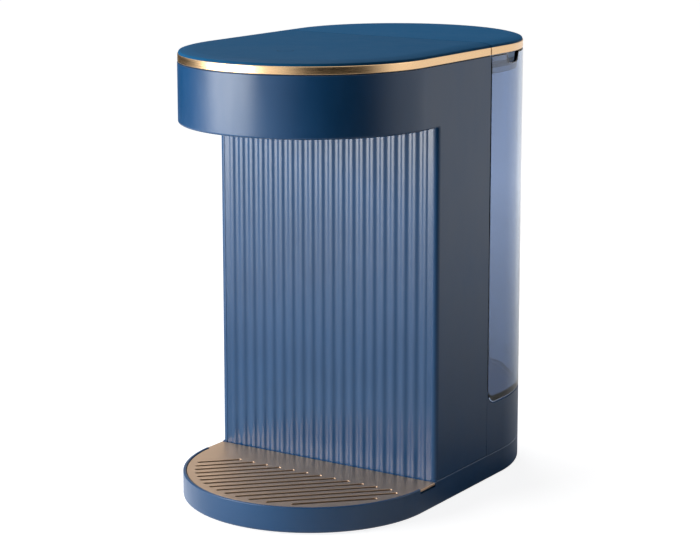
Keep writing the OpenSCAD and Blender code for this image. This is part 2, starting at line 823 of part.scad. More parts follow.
// Hoses, each of straight runs and quarter bends
module inlet_hose() color(color_hose) {
    run_z(0, valve_y, low_z + bend_r, 27);
    elbow([0, valve_y, low_z + bend_r], [0, 180, 0]);
    run_x(pump_x + bend_r, -bend_r, valve_y, low_z);
    elbow([pump_x + bend_r, valve_y, low_z], [0, -90, 0], [90, 0, 0]);
    run_y(pump_x, pump_y + bend_r, valve_y - bend_r, low_z);
    elbow([pump_x, pump_y + bend_r, low_z], [90, 0, 0], [0, -90, 0]);
    run_z(pump_x, pump_y, low_z + bend_r, pump_base - 3);
}
module pump_hose() color(color_hose) {
    run_x(pump_x + 13.5, meter_x - 0.5, line_y, line_z);
}
module heater_hose() color(color_hose) {
    run_x(meter_end + 0.5, heater_x - bend_r, line_y, line_z);
    elbow([heater_x - bend_r, line_y, line_z], [0, 90, 0], [180, 0, 0]);
    run_z(heater_x, line_y, line_z + bend_r, heater_bottom - 1);
}
module outlet_hose() color(color_hose) {
    run_z(heater_x, line_y, heater_top + 11, outlet_z - bend_r);
    elbow([heater_x, line_y, outlet_z - bend_r], [0, 0, -90]);
    run_y(heater_x, spout_y + bend_r, line_y - bend_r, outlet_z);
    elbow([heater_x, spout_y + bend_r, outlet_z], [90, 0, 0], [0, 180, 0]);
    run_x(13, heater_x - bend_r, spout_y, outlet_z);
}
module clip_ring(l) {
    difference() {
        cylinder(h = l, r = hose_out + 0.9);
        translate([0, 0, -1]) cylinder(h = l + 2, r = hose_out);
    }
    for (s = [-1, 1]) translate([hose_out + 0.4, s * 1.4 - 0.4, 0]) cube([3.4, 0.8, l]);
}
module hose_clips() color(color_metal) {
    translate([0, valve_y, 22]) clip_ring(3);
    translate([pump_x, pump_y, pump_base - 9]) clip_ring(3);
    translate([pump_x + 16, line_y, line_z]) rotate([0, 90, 0]) clip_ring(3);
    translate([meter_x - 5, line_y, line_z]) rotate([0, 90, 0]) clip_ring(3);
    translate([meter_end + 2.5, line_y, line_z]) rotate([0, 90, 0]) clip_ring(3);
    translate([heater_x, line_y, heater_bottom - 7]) clip_ring(3);
    translate([heater_x, line_y, heater_top + 13.5]) clip_ring(3);
    translate([15.5, spout_y, outlet_z]) rotate([0, 90, 0]) clip_ring(3);
}

// Clear tank: flat front, round back, rounded lower front corner and finger notches
module tank_solid(inset, z0, corner) {
    y0 = tank_y + inset;
    intersection() {
        translate([0, 0, z0]) linear_extrude(tank_top + 10 - z0) between(y0, body_l) outline(inset);
        translate([-r_out - 1, 0, 0]) rotate([90, 0, 90]) linear_extrude(2 * r_out + 2) {
            translate([y0 + corner, z0]) square([body_l, body_h]);
            translate([y0, z0 + corner]) square([body_l, body_h]);
            translate([y0 + corner, z0 + corner]) circle(corner);
        }
    }
}
module tank_shell() color(color_tank, 0.45) {
    difference() {
        tank_solid(0, tank_bottom, tank_corner);
        tank_solid(tank_wall, tank_floor, tank_corner - tank_wall);
        translate([0, 0, tank_top + 10]) cube([3 * r_out, 2 * body_l, 20], center = true);
        post(0, valve_y, tank_bottom - 1, tank_floor + 1, valve_r + 0.05);
        translate([-r_out - 1, notch_y, tank_top]) rotate([90, 0, 90]) linear_extrude(2 * r_out + 2)
            finger_notch();
    }
    difference() {
        post(0, valve_y, tank_floor - 0.2, tank_floor + 1.5, 14);
        post(0, valve_y, tank_floor - 1, tank_floor + 2, 12.05);
    }
}
// Notch in the rim, with sloping sides and round bottom corners
module finger_notch() {
    translate([0, -notch_depth]) {
        for (s = [-1, 1]) translate([s * (notch_w / 2 - 4), 2]) circle(2, $fn = 48);
        translate([4 - notch_w / 2, 0]) square([notch_w - 8, notch_depth + 1]);
        polygon([[-notch_w / 2, notch_depth + 1], [-notch_w / 2, notch_depth],
            [1.9 - notch_w / 2, 2.3], [4 - notch_w / 2, 2], [notch_w / 2 - 4, 2],
            [notch_w / 2 - 1.9, 2.3], [notch_w / 2, notch_depth], [notch_w / 2, notch_depth + 1]]);
    }
}

module valve_housing() color(color_dark) {
    translate([0, valve_y, 0]) rotate_extrude() difference() {
        union() {
            translate([0, valve_bottom]) square([valve_r, tank_floor - valve_bottom]);
            translate([0, tank_floor]) square([12, 1.5]);
        }
        translate([-1, seat_z]) square([7.6, 20]);
        translate([-1, valve_bottom - 1]) square([4.4, 20]);
        translate([9, deck_top - 2.7]) circle(0.9, $fn = 32);
    }
}
module valve_oring() color(color_rubber) {
    translate([0, valve_y, deck_top - 2.7]) rotate_extrude() translate([9, 0]) circle(0.9, $fn = 32);
}
cage_z = tank_floor + 1.5;
module valve_cage() color(color_dark) {
    translate([0, valve_y, 0]) difference() {
        post(0, 0, cage_z, cage_z + 5.3, 9);
        post(0, 0, cage_z - 1, cage_z + 3.8, 7.6);
        for (a = [0 : 60 : 120]) rotate([0, 0, a]) translate([-10, -2, cage_z + 0.6]) cube([20, 4, 3]);
        for (a = [30 : 60 : 330]) rotate([0, 0, a]) post(5.4, 0, cage_z, cage_z + 6, 1.3);
        post(0, 0, cage_z, cage_z + 6, 1.7);
    }
}
module inlet_filter() color("#c9d3e4") {
    translate([0, valve_y, 0]) difference() {
        union() {
            post(0, 0, cage_z, cage_z + 8, 11);
            post(0, 0, cage_z + 8, cage_z + 9, 10);
        }
        post(0, 0, cage_z - 1, cage_z + 7, 10);
        for (a = [0 : 22.5 : 157.5]) rotate([0, 0, a])
            translate([-12, -0.8, cage_z + 1]) cube([24, 1.6, 4.6]);
        for (a = [0 : 45 : 315]) rotate([0, 0, a]) post(6.6, 0, cage_z, cage_z + 10, 1.1);
        for (a = [0 : 90 : 270]) rotate([0, 0, a]) post(3, 0, cage_z, cage_z + 10, 1.1);
    }
}
// Poppet, shown lifted off its seat by the dock's pin
poppet_z = seat_z + valve_lift + 0.2;
module valve_poppet() color("#dfe3e8") {
    translate([0, valve_y, 0]) rotate_extrude() difference() {
        union() {
            translate([0, poppet_z + 0.8]) square([5.4, 1.8]);
            translate([0, pin_top + gap]) square([1.6, poppet_z + 4 - pin_top]);
            translate([0, poppet_z + 2]) square([1.3, 5.4]);
        }
        translate([5.4, poppet_z + 2.6]) circle(0.5, $fn = 32);
    }
}
module poppet_seal() color("#b5483c") {
    translate([0, valve_y, 0]) rotate_extrude() translate([1.6, poppet_z]) square([3.8, 0.8]);
}
module valve_spring() color(color_metal) {
    z0 = poppet_z + 2.6;
    translate([0, valve_y, z0]) coil(3.6, 0.35, 5, cage_z + 3.8 - z0);
}

// Lid over the tank
module lid_shell() color("#24507a") {
    rear_wall_run(tank_y) cover_section();
    difference() {
        plate(3.3, tank_y + 3.3, body_l, plate_bottom - 1.2, plate_bottom);
        plate(12, tank_y + 12, body_l, plate_bottom - 2, plate_bottom);
    }
    block([2.4 - r_out, tank_y, trim_bottom + 0.2], [r_out - 2.4, tank_y + 1.4, plate_bottom]);
}
module lid_trim() color(color_gold) {
    rear_wall_run(tank_y) trim_section();
}
module skirt_plan(d) {
    between(tank_y + tank_wall + 1 + d, body_l) outline(r_out - skirt_out + d);
}
module lid_skirt() color("#7f93b8") {
    difference() {
        translate([0, 0, skirt_bottom]) linear_extrude(plate_bottom - 1.2 - skirt_bottom) skirt_plan(0);
        translate([0, 0, skirt_bottom - 1]) linear_extrude(20) skirt_plan(skirt_t);
        translate([0, 0, skirt_bottom + 3]) linear_extrude(3) difference() {
            skirt_plan(-1);
            skirt_plan(0.5);
        }
    }
}
module lid_seal() color("#d5d9de") {
    difference() {
        translate([0, 0, skirt_bottom + 3]) linear_extrude(3) skirt_plan(-0.2);
        translate([0, 0, skirt_bottom + 2]) linear_extrude(5) skirt_plan(0.5);
        translate([0, 0, skirt_bottom + 4]) linear_extrude(1) difference() {
            skirt_plan(-1);
            skirt_plan(0.1);
        }
    }
}

// Drip pan under the grille
module drip_pan() color(color_dark) {
    d = rim_w + 0.4;
    back = front_y - 0.6;
    difference() {
        union() {
            plate(d, -body_l, back, pan_bottom + 1.5, pan_top);
            plate(d + 1.5, -body_l, back, pan_bottom, pan_top);
        }
        plate(d + pan_t + 1, -body_l, back - pan_t - 1, pan_bottom + pan_t, base_top);
        plate(d + pan_t, -body_l, back - pan_t, pan_bottom + pan_t + 1, base_top);
    }
    for (x = [-30, 0, 30]) block([x - 0.7, -88, pan_bottom + 1], [x + 0.7, -36, pan_bottom + 2.2]);
}

// Grille plate: diagonal slots end on a round outline and on a straight line at the back
slot_run_r = r_out - 6;
slot_back = 10;
module slot(o) {
    reach = sqrt(slot_run_r * slot_run_r - o * o) - slot_w / 2;
    t0 = -reach;
    t1 = min(reach, -sqrt(2) * slot_back - o);
    translate([0, -arc_y, grille_bottom - 1]) rotate([0, 0, 45]) linear_extrude(grille_t + 2) {
        translate([t0, o - slot_w / 2]) square([t1 - t0, slot_w]);
        for (t = [t0, t1]) translate([t, o]) circle(slot_w / 2, $fn = 32);
    }
}
module drip_grille() color("#b89468") {
    difference() {
        union() {
            plate(rim_w + gap, -body_l, front_y - gap, grille_bottom, grille_top);
            plate(0.1, tab_front + gap, front_y - gap, grille_bottom, grille_top);
        }
        for (i = [0 : slot_count - 1]) slot(21 - i * slot_pitch);
    }
}

base_tub();
rubber_feet();
base_screws();
cord_gland();
main_housing();
fluted_panel();
head_underside();
spout();
outlet_chamber();
top_panel();
front_trim();
rear_wall();
wall_screws();
tank_dock();
dock_socket();
dock_seal();
control_board();
touch_springs();
light_guide();
ribbon_cable();
power_board();
power_components();
level_sensor();
heater_block();
water_tube();
heater_bracket();
thermostats();
temperature_sensor();
pump_housing();
pump_cover();
pump_motor();
pump_cradle();
flow_meter_body();
flow_meter_cap();
inlet_hose();
pump_hose();
heater_hose();
outlet_hose();
hose_clips();
impeller();
pump_shaft();
flow_turbine();
tank_shell();
valve_housing();
valve_oring();
valve_cage();
inlet_filter();
valve_spring();
valve_poppet();
poppet_seal();
lid_shell();
lid_trim();
lid_skirt();
lid_seal();
drip_pan();
drip_grille();
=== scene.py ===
"""Looks of a countertop water warmer for baby formula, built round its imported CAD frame."""

import json
import math

import bmesh
import bpy
from mathutils import Matrix, Vector


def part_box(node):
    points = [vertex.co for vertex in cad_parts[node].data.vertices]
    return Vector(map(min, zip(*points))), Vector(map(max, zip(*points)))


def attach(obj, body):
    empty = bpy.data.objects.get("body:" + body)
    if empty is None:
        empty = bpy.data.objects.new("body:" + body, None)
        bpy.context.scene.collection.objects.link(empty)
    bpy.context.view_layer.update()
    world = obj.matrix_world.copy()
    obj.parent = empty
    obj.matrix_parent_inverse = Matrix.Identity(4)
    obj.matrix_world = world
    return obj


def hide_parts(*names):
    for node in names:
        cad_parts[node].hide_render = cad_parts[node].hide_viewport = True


bl_info = {
    "name": "Formula water warmer",
    "version": (1, 0, 0),
    "blender": (4, 5, 0),
    "location": "3D View > Sidebar > Warmer",
    "description": "Builds the warmer's visible pieces and finishes round its CAD frame",
    "category": "Add Mesh",
}

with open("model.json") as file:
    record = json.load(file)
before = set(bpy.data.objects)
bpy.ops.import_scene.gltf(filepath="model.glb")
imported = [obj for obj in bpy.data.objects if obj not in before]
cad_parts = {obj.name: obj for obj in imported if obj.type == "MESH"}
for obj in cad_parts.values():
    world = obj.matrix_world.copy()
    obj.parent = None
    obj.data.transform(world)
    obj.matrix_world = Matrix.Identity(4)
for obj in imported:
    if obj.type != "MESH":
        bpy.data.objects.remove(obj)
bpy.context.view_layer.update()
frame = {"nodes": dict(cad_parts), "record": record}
TO_MM = 1000.0
PREFIX = "warmer_"


def low(node):
    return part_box(node)[0] * TO_MM


def high(node):
    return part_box(node)[1] * TO_MM


# Levels and edges of the CAD frame and clearances from them, in millimetres
RADIUS = high("main_housing").x
ARC_Y = high("base_tub").y - RADIUS
BASE_TOP = high("drip_grille").z + 0.3
SEAM = 0.12  # gap between the base and what stands on it
HEAD_LOW = 196.0
HOUSING_TOP = high("main_housing").z - 0.4
COLUMN_BACK = high("main_housing").y
COLUMN_FRONT = low("fluted_panel").y - 0.1
TRIM_LOW = low("front_trim").z
TRIM_TOP = high("front_trim").z
TOP = high("top_panel").z
TANK_FRONT = low("tank_shell").y
TANK_LOW = low("tank_shell").z
TANK_TOP = high("tank_shell").z
DOCK_TOP = low("tank_shell").z - 0.5
GRILLE_LOW = low("drip_grille").z
GRILLE_TOP = high("drip_grille").z
PAN_LOW = low("drip_pan").z
PAN_TOP = high("drip_pan").z
WALL_IN = high("fluted_panel").x + 0.1
SPOUT_Y = -60.0
VALVE_Y = 50.0
TANK_CORNER = 7.5  # round of the tank's lower edge at its flat front
POST_FOOT = 8.0
POST_BORE = 1.5
POST_RADIUS = 4.0
RIB = 1.2  # walls of the ribs and frames that stiffen a moulding
TOUCH_RING = (0.0, -64.0, 4.0)  # x, y and radius of the mark on the top
SHARP = math.radians(35)
CLOSE = 1e-4  # how near a vertex lies to a plane to be on it
LEVEL = 1e-3  # the same for edges and faces at one height
MERGE = 0.0005  # vertices nearer than this are one


# Sizes and colours that a user would change


def length(name, description, default):
    """A length in metres, from millimetres."""
    return bpy.props.FloatProperty(
        name=name,
        description=description,
        default=default / TO_MM,
        min=0.0,
        precision=5,
        subtype="DISTANCE",
        unit="LENGTH",
    )


def colour(name, description, default):
    return bpy.props.FloatVectorProperty(
        name=name,
        description=description,
        default=default,
        size=3,
        min=0.0,
        max=1.0,
        subtype="COLOR",
    )


class WarmerSizes(bpy.types.PropertyGroup):
    """Sizes of the forms that the pieces get on top of their CAD solids"""

    column_round: length("Column round", "Round of the column's front edges", 2.6)
    head_round: length("Head round", "Round of the head's lower edge", 1.2)
    soft_edge: length("Soft edge", "Round of the other moulded edges", 0.3)
    crown_rise: length("Crown rise", "Rise of the top from its edge", 2.2)
    crown_width: length("Crown width", "Width of the rising band of the top", 8.0)
    crown_edge: length("Crown edge", "Round of the top's outer edge", 1.2)
    flute_depth: length("Flute depth", "Height of a flute over its valley", 0.6)
    flute_count: bpy.props.IntProperty(
        name="Flutes", description="Flutes across the panel", default=20, min=4, max=40
    )
    slot_count: bpy.props.IntProperty(
        name="Slots", description="Slots in the grille", default=14, min=2, max=20
    )
    slot_pitch: length("Slot pitch", "Distance from slot to slot", 6.0)
    slot_width: length("Slot width", "Width of a slot", 2.4)
    tank_wall: length("Tank wall", "Wall of the clear tank", 2.2)
    notch_depth: length("Notch depth", "Depth of the tank's finger notches", 5.0)


class WarmerColours(bpy.types.PropertyGroup):
    """Colours of the finishes, as linear values"""

    navy: colour("Navy", "Satin plastic of the housing", (0.005, 0.066, 0.185))
    fluted: colour("Fluted", "Glossier plastic of the fluted panel", (0.008, 0.066, 0.180))
    top: colour("Top", "Matte plastic of the top", (0.008, 0.094, 0.222))
    gold: colour("Gold", "Brushed metal of the band", (0.83, 0.55, 0.30))
    champagne: colour("Champagne", "Anodised metal of the grille", (0.66, 0.46, 0.31))
    tank: colour("Tank", "Clear plastic of the tank", (0.33, 0.42, 0.58))
    skirt: colour("Skirt", "Frosted plastic of the lid's skirt", (0.85, 0.90, 0.95))


def size(name):
    """A user's size in millimetres."""
    value = getattr(bpy.context.scene.warmer_sizes, name)
    return value if isinstance(value, int) else value * TO_MM


def tint(name):
    return tuple(getattr(bpy.context.scene.warmer_colours, name))


# Shader maths


class Wire:
    """A node's output. Arithmetic on it adds the Math nodes that work it out."""

    def __init__(self, paint, socket):
        self.paint = paint
        self.socket = socket

    def math(self, operation, *values):
        return self.paint.node(
            "ShaderNodeMath", {"operation": operation}, dict(enumerate(values))
        )

    def __add__(self, other):
        return self.math("ADD", self, other)

    def __sub__(self, other):
        return self.math("SUBTRACT", self, other)

    def __rsub__(self, other):
        return self.math("SUBTRACT", other, self)

    def __mul__(self, other):
        return self.math("MULTIPLY", self, other)

    def __pow__(self, other):
        return self.math("POWER", self, other)

    def __gt__(self, other):
        return self.math("GREATER_THAN", self, other)

    def __lt__(self, other):
        return self.math("LESS_THAN", self, other)

    __radd__ = __add__
    __rmul__ = __mul__


class Paint:
    """A new material, or the given world, that is written as expressions."""

    def __init__(self, name, world=None):
        self.owner = world or bpy.data.materials.new(PREFIX + name)
        self.owner.use_nodes = True
        self.tree = self.owner.node_tree
        self.tree.nodes.clear()

    def node(self, kind, settings=None, inputs=None, output=0):
        """Adds a node: its settings first, then the values or links of its sockets."""
        made = self.tree.nodes.new(kind)
        for name, value in (settings or {}).items():
            setattr(made, name, value)
        for key, value in (inputs or {}).items():
            socket = made.inputs[key]
            if isinstance(value, Wire):
                self.tree.links.new(value.socket, socket)
            elif hasattr(socket.default_value, "__len__") and len(value) < len(
                socket.default_value
            ):
                socket.default_value = (*value, 1.0)
            else:
                socket.default_value = value
        return Wire(self, made.outputs[output])

    def place(self, scale=(1, 1, 1)):
        """Object coordinates in metres, scaled."""
        where = self.node("ShaderNodeTexCoord", output="Object")
        return self.node("ShaderNodeMapping", inputs={"Vector": where, "Scale": scale})

    def axis(self, letter):
        """One object coordinate in metres."""
        where = self.node("ShaderNodeTexCoord", output="Object")
        return self.node("ShaderNodeSeparateXYZ", inputs={0: where}, output=letter)

    def noise(self, scale, detail=2.0, stretch=(1, 1, 1), roughness=0.5):
        return self.node(
            "ShaderNodeTexNoise",
            inputs={
                "Vector": self.place(stretch),
                "Scale": scale,
                "Detail": detail,
                "Roughness": roughness,
            },
        )

    def mix(self, factor, a, b):
        """Colour a where the factor is 0 and b where it is 1. Sockets 6 and 7 are the colours."""
        inputs = {0: factor, 6: a, 7: b}
        return self.node("ShaderNodeMix", {"data_type": "RGBA"}, inputs, output=2)

    def remap(self, value, low_in, high_in, low_out, high_out):
        return self.node(
            "ShaderNodeMapRange",
            inputs={0: value, 1: low_in, 2: high_in, 3: low_out, 4: high_out},
        )

    def bump(self, height, distance, strength=1.0):
        return self.node(
            "ShaderNodeBump", inputs={"Height": height, "Distance": distance, "Strength": strength}
        )

    def principled(self, inputs):
        return self.output(self.node("ShaderNodeBsdfPrincipled", inputs=inputs))

    def output(self, shader):
        kind = "World" if self.owner.id_type == "WORLD" else "Material"
        end = self.tree.nodes.new(f"ShaderNodeOutput{kind}")
        self.tree.links.new(shader.socket, end.inputs["Surface"])
        return self.owner


def shade(rgb, factor):
    return tuple(min(1.0, c * factor) for c in rgb)


def moulded(
    name, rgb, roughness, grain=0.35, spread=0.06, level=0.5, tone=0.06, lid=1.0, ring_at=None
):
    """Moulded plastic: spark-eroded grain, a faint cloud in its gloss and colour.

    Behind the seam of the lid its colour is lid times as bright. A touch ring is a faint
    darker line round ring_at, an (x, y, radius) in millimetres."""
    paint = Paint(name)
    cloud = paint.noise(22.0, 3.0)
    fine = paint.noise(1000.0 / grain, 2.0)
    rub = paint.noise(140.0, 4.0, (1.0, 1.0, 0.35))
    gloss = paint.remap(cloud * 0.6 + rub * 0.4, 0.3, 0.7, roughness - spread, roughness + spread)
    colour_out = paint.mix(
        paint.remap(cloud, 0.3, 0.7, 0.0, 1.0), shade(rgb, 1 - tone), shade(rgb, 1 + tone)
    )
    if lid != 1.0:
        # Painted highlight: behind the lid's seam the top is coloured lid times as bright,
        # standing in for the lighter look the top has there.
        painted_lid_light_mask = paint.axis("Y") > (COLUMN_BACK + TANK_FRONT) / 2 / TO_MM
        colour_out = paint.mix(painted_lid_light_mask, colour_out, shade(rgb, lid))
    if ring_at:
        x, y, radius = (value / TO_MM for value in ring_at)
        off = ((paint.axis("X") - x) ** 2 + (paint.axis("Y") - y) ** 2) ** 0.5 - radius
        line = paint.remap(off.math("ABSOLUTE", off), 0.0002, 0.0005, 1.0, 0.0)
        colour_out = paint.mix(line, colour_out, shade(rgb, 0.6))
    return paint.principled(
        {
            "Base Color": colour_out,
            "Roughness": gloss,
            "Specular IOR Level": level,
            "Normal": paint.bump(fine, 0.00002, 0.55),
        }
    )


def brushed(name, rgb, roughness, lines, streak=0.25, depth=0.000006, dirt=0.0):
    """Brushed metal: fine lines along the two axes where lines is small."""
    paint = Paint(name)
    hair = paint.noise(1.0, 5.0, lines, 0.7)
    cloud = paint.noise(35.0, 3.0)
    tone = paint.remap(hair, 0.3, 0.7, 1 - streak, 1.0)
    colour_out = paint.mix(tone, shade(rgb, 0.72), rgb)
    if dirt:
        soiled = paint.remap(cloud, 0.35, 0.65, 0.0, dirt)
        colour_out = paint.mix(soiled, colour_out, shade(rgb, 0.55))
    gloss = paint.remap(hair + cloud * 0.5, 0.4, 1.1, roughness - 0.06, roughness + 0.08)
    return paint.principled(
        {
            "Base Color": colour_out,
            "Metallic": 1.0,
            "Roughness": gloss,
            "Normal": paint.bump(hair, depth),
        }
    )


def clear(name, rgb, roughness, haze, wave=0.00002):
    """Clear plastic: its tint, a faint flow in its surface, and haze where it is frosted."""
    paint = Paint(name)
    flow = paint.noise(30.0, 2.0, (1.0, 1.0, 0.4))
    speck = paint.noise(2600.0, 1.0)
    colour_out = paint.mix(
        paint.remap(flow, 0.3, 0.7, 0.0, 1.0), shade(rgb, 0.97), shade(rgb, 1.03)
    )
    return paint.principled(
        {
            "Base Color": colour_out,
            "Roughness": paint.remap(speck, 0.3, 0.7, roughness, roughness + haze),
            "Transmission Weight": 1.0,
            "IOR": 1.46,
            "Normal": paint.bump(flow, wave, 0.4),
        }
    )


def soft_rubber(name, rgb, roughness=0.62, level=0.35):
    """Rubber or silicone: fine bloom over a slightly uneven skin."""
    paint = Paint(name)
    skin = paint.noise(420.0, 3.0)
    bloom = paint.noise(60.0, 4.0)
    return paint.principled(
        {
            "Base Color": paint.mix(
                paint.remap(bloom, 0.35, 0.7, 0.0, 0.5), rgb, shade(rgb, 1.35)
            ),
            "Roughness": paint.remap(bloom, 0.3, 0.7, roughness - 0.08, roughness + 0.1),
            "Specular IOR Level": level,
            "Normal": paint.bump(skin, 0.00003, 0.5),
        }
    )


def circuit(name):
    """Solder mask with tracks and round pads that show through."""
    paint = Paint(name)
    tracks = paint.node(
        "ShaderNodeTexBrick",
        {"offset": 0.37},
        {
            "Vector": paint.place(),
            "Scale": 260.0,
            "Mortar Size": 0.09,
            "Mortar Smooth": 0.2,
            "Color1": (0.0, 0.0, 0.0),
            "Color2": (0.0, 0.0, 0.0),
            "Mortar": (1.0, 1.0, 1.0),
        },
    )
    dots = paint.node(
        "ShaderNodeTexVoronoi", {"feature": "F1"}, {"Vector": paint.place(), "Scale": 210.0}
    )
    pads = dots < 0.16
    mask = paint.mix(paint.noise(45.0, 2.0), (0.006, 0.085, 0.035), (0.012, 0.125, 0.055))
    tracked = paint.mix(tracks, mask, (0.03, 0.20, 0.09))
    return paint.principled(
        {
            "Base Color": paint.mix(pads, tracked, (0.72, 0.70, 0.66)),
            "Metallic": pads * 0.9,
            "Roughness": paint.remap(pads, 0.0, 1.0, 0.38, 0.25),
            "Normal": paint.bump(pads + tracks * 0.3, 0.00003),
        }
    )


def flat_cable(name):
    """Flat cable: parallel cores along its width, which is the y direction here."""
    paint = Paint(name)
    across = paint.axis("Y")
    ridge = across.math("SINE", across * 4900.0)
    core = paint.remap(ridge, -1.0, 1.0, 0.0, 1.0)
    return paint.principled(
        {
            "Base Color": paint.mix(core, (0.07, 0.075, 0.085), (0.17, 0.18, 0.20)),
            "Roughness": paint.remap(core, 0.0, 1.0, 0.55, 0.42),
            "Normal": paint.bump(core, 0.00015),
        }
    )


def cast_metal(name, rgb):
    """Die-cast aluminium: rough skin with flow clouds."""
    paint = Paint(name)
    skin = paint.noise(700.0, 4.0)
    cloud = paint.noise(60.0, 4.0)
    return paint.principled(
        {
            "Base Color": paint.mix(
                paint.remap(cloud, 0.35, 0.65, 0.0, 1.0), shade(rgb, 0.8), rgb
            ),
            "Metallic": 1.0,
            "Roughness": paint.remap(cloud + skin * 0.5, 0.5, 1.0, 0.42, 0.6),
            "Normal": paint.bump(skin, 0.00008),
        }
    )


def make_finishes():
    """One material for each of the record's slots."""
    moulded("navy_satin", tint("navy"), 0.34)
    moulded("navy_fluted", tint("fluted"), 0.22, 0.4, 0.03, 0.5)
    # The 1.17 paints the lid's part of the top brighter, a painted highlight.
    moulded("navy_top", tint("top"), 0.6, 0.3, 0.05, 0.05, 0.04, 1.17, TOUCH_RING)
    brushed("gold_trim", tint("gold"), 0.27, (25.0, 25.0, 4200.0), 0.2)
    brushed("gold_plate", tint("champagne"), 0.4, (2600.0, 60.0, 60.0), 0.22, 0.00001, 0.25)
    clear("tank_clear", tint("tank"), 0.004, 0.008, 0.000006)
    clear("skirt_clear", tint("skirt"), 0.3, 0.12)
    clear("filter_clear", (0.72, 0.78, 0.88), 0.12, 0.05)
    soft_rubber("rubber_dark", (0.02, 0.021, 0.024))
    soft_rubber("silicone_dark", (0.03, 0.034, 0.045), 0.5)
    soft_rubber("silicone_grey", (0.33, 0.35, 0.38), 0.5)
    soft_rubber("hose_silicone", (0.72, 0.70, 0.64), 0.42, 0.45)
    soft_rubber("seal_red", (0.42, 0.055, 0.035), 0.48)
    moulded("inner_dark", (0.018, 0.022, 0.03), 0.42, 0.45)
    moulded("inner_white", (0.70, 0.68, 0.62), 0.4, 0.5, 0.05, 0.5, 0.03)
    moulded("pan_dark", (0.016, 0.028, 0.055), 0.38, 0.4)
    circuit("circuit_board")
    flat_cable("cable_grey")
    cast_metal("cast_aluminium", (0.62, 0.63, 0.65))
    brushed("steel", (0.60, 0.61, 0.63), 0.28, (900.0, 900.0, 900.0), 0.15)


def finish_of(slot):
    return bpy.data.materials[PREFIX + slot]


# Mesh helpers. Meshes are drawn in millimetres and scaled once at the end.


class Pen:
    """Draws a chain of edges in one plane, from lines and arcs."""

    PLANES = {
        "xy": (lambda a, b, level: Vector((a, b, level)), Vector((0, 0, 1))),
        "xz": (lambda a, b, level: Vector((a, level, b)), Vector((0, -1, 0))),
        "yz": (lambda a, b, level: Vector((level, a, b)), Vector((1, 0, 0))),
    }

    def __init__(self, bm, plane, level, start):
        self.bm = bm
        self.put, self.normal = self.PLANES[plane]
        self.level = level
        self.first = bm.verts.new(self.put(*start, level))
        self.last = self.first

    def line(self, *points):
        for point in points:
            made = bmesh.ops.extrude_vert_indiv(self.bm, verts=[self.last])
            self.last = made["verts"][0]
            self.last.co = self.put(*point, self.level)
        return self

    def arc(self, centre, degrees, steps):
        made = bmesh.ops.spin(
            self.bm,
            geom=[self.last],
            cent=self.put(*centre, self.level),
            axis=self.normal,
            angle=math.radians(degrees),
            steps=steps,
            use_merge=False,
            use_normal_flip=False,
            use_duplicate=False,
        )
        self.last = [g for g in made["geom_last"] if isinstance(g, bmesh.types.BMVert)][0]
        return self

    def close(self):
        """Joins the ends and returns the closed loop's edges."""
        self.bm.edges.new((self.last, self.first))
        found = {self.first}
        todo = [self.first]
        while todo:
            for edge in todo.pop().link_edges:
                for vert in edge.verts:
                    if vert not in found:
                        found.add(vert)
                        todo.append(vert)
        return [e for e in self.bm.edges if e.verts[0] in found]

    def face(self):
        """Closes the chain and fills it."""
        made = bmesh.ops.edgeloop_fill(self.bm, edges=self.close())
        return made["faces"][0]


def verts_of(geom):
    return [g for g in geom if isinstance(g, bmesh.types.BMVert)]


def edges_of(geom):
    return [g for g in geom if isinstance(g, bmesh.types.BMEdge)]


def extrude_face(bm, face, by):
    """Extrudes one face into a closed solid."""
    made = bmesh.ops.extrude_face_region(bm, geom=[face], use_keep_orig=True)["geom"]
    bmesh.ops.translate(bm, verts=verts_of(made), vec=by)
    return made


def extrude_edges(bm, edges, by):
    """Extrudes edges and returns the new ones."""
    made = bmesh.ops.extrude_edge_only(bm, edges=edges)["geom"]
    verts = set(verts_of(made))
    bmesh.ops.translate(bm, verts=list(verts), vec=by)
    return [e for e in edges_of(made) if set(e.verts) <= verts]


def turn_edges(bm, edges, centre, degrees, steps):
    """Spins edges about an upright axis."""
    verts = list({v for e in edges for v in e.verts})
    bmesh.ops.spin(
        bm,
        geom=verts + list(edges),
        cent=(centre[0], centre[1], 0),
        axis=(0, 0, 1),
        angle=math.radians(degrees),
        steps=steps,
        use_merge=False,
        use_normal_flip=False,
        use_duplicate=False,
    )


def mirror_x(bm):
    bmesh.ops.mirror(
        bm,
        geom=bm.verts[:] + bm.edges[:] + bm.faces[:],
        matrix=Matrix.Identity(4),
        merge_dist=2 * MERGE,
        axis="X",
    )
    bmesh.ops.remove_doubles(bm, verts=bm.verts, dist=MERGE)


def sweep(bm, section, y_end, end, steps=64):
    """Carries a section face at y_end along the side and round one end of the body.

    The edge that lies in the middle plane is left out, and the mirror image closes it."""
    edges = [e for e in section.edges if max(abs(v.co.x) for v in e.verts) > CLOSE]
    edges = extrude_edges(bm, edges, (0, end * ARC_Y - y_end, 0))
    turn_edges(bm, edges, (0, end * ARC_Y), 90 * end, steps)


def ring(bm, centre, section, steps, axis="z"):
    """Turns a closed section of (radius, height) points once round the z or the x axis."""
    verts = [bm.verts.new((r, 0, h)) for r, h in section]
    pairs = zip(verts, verts[1:] + verts[:1])
    edges = [bm.edges.new(pair) for pair in pairs if max(p.co.x for p in pair) > CLOSE]
    before = set(bm.verts) - set(verts)
    bmesh.ops.spin(
        bm,
        geom=verts + edges,
        cent=(0, 0, 0),
        axis=(0, 0, 1),
        angle=math.tau,
        steps=steps,
        use_merge=True,
        use_normal_flip=False,
        use_duplicate=False,
    )
    made = [v for v in bm.verts if v not in before]
    if axis == "x":
        quarter = Matrix.Rotation(math.pi / 2, 3, "Y")
        bmesh.ops.rotate(bm, verts=made, cent=(0, 0, 0), matrix=quarter)
    bmesh.ops.translate(bm, verts=made, vec=centre)


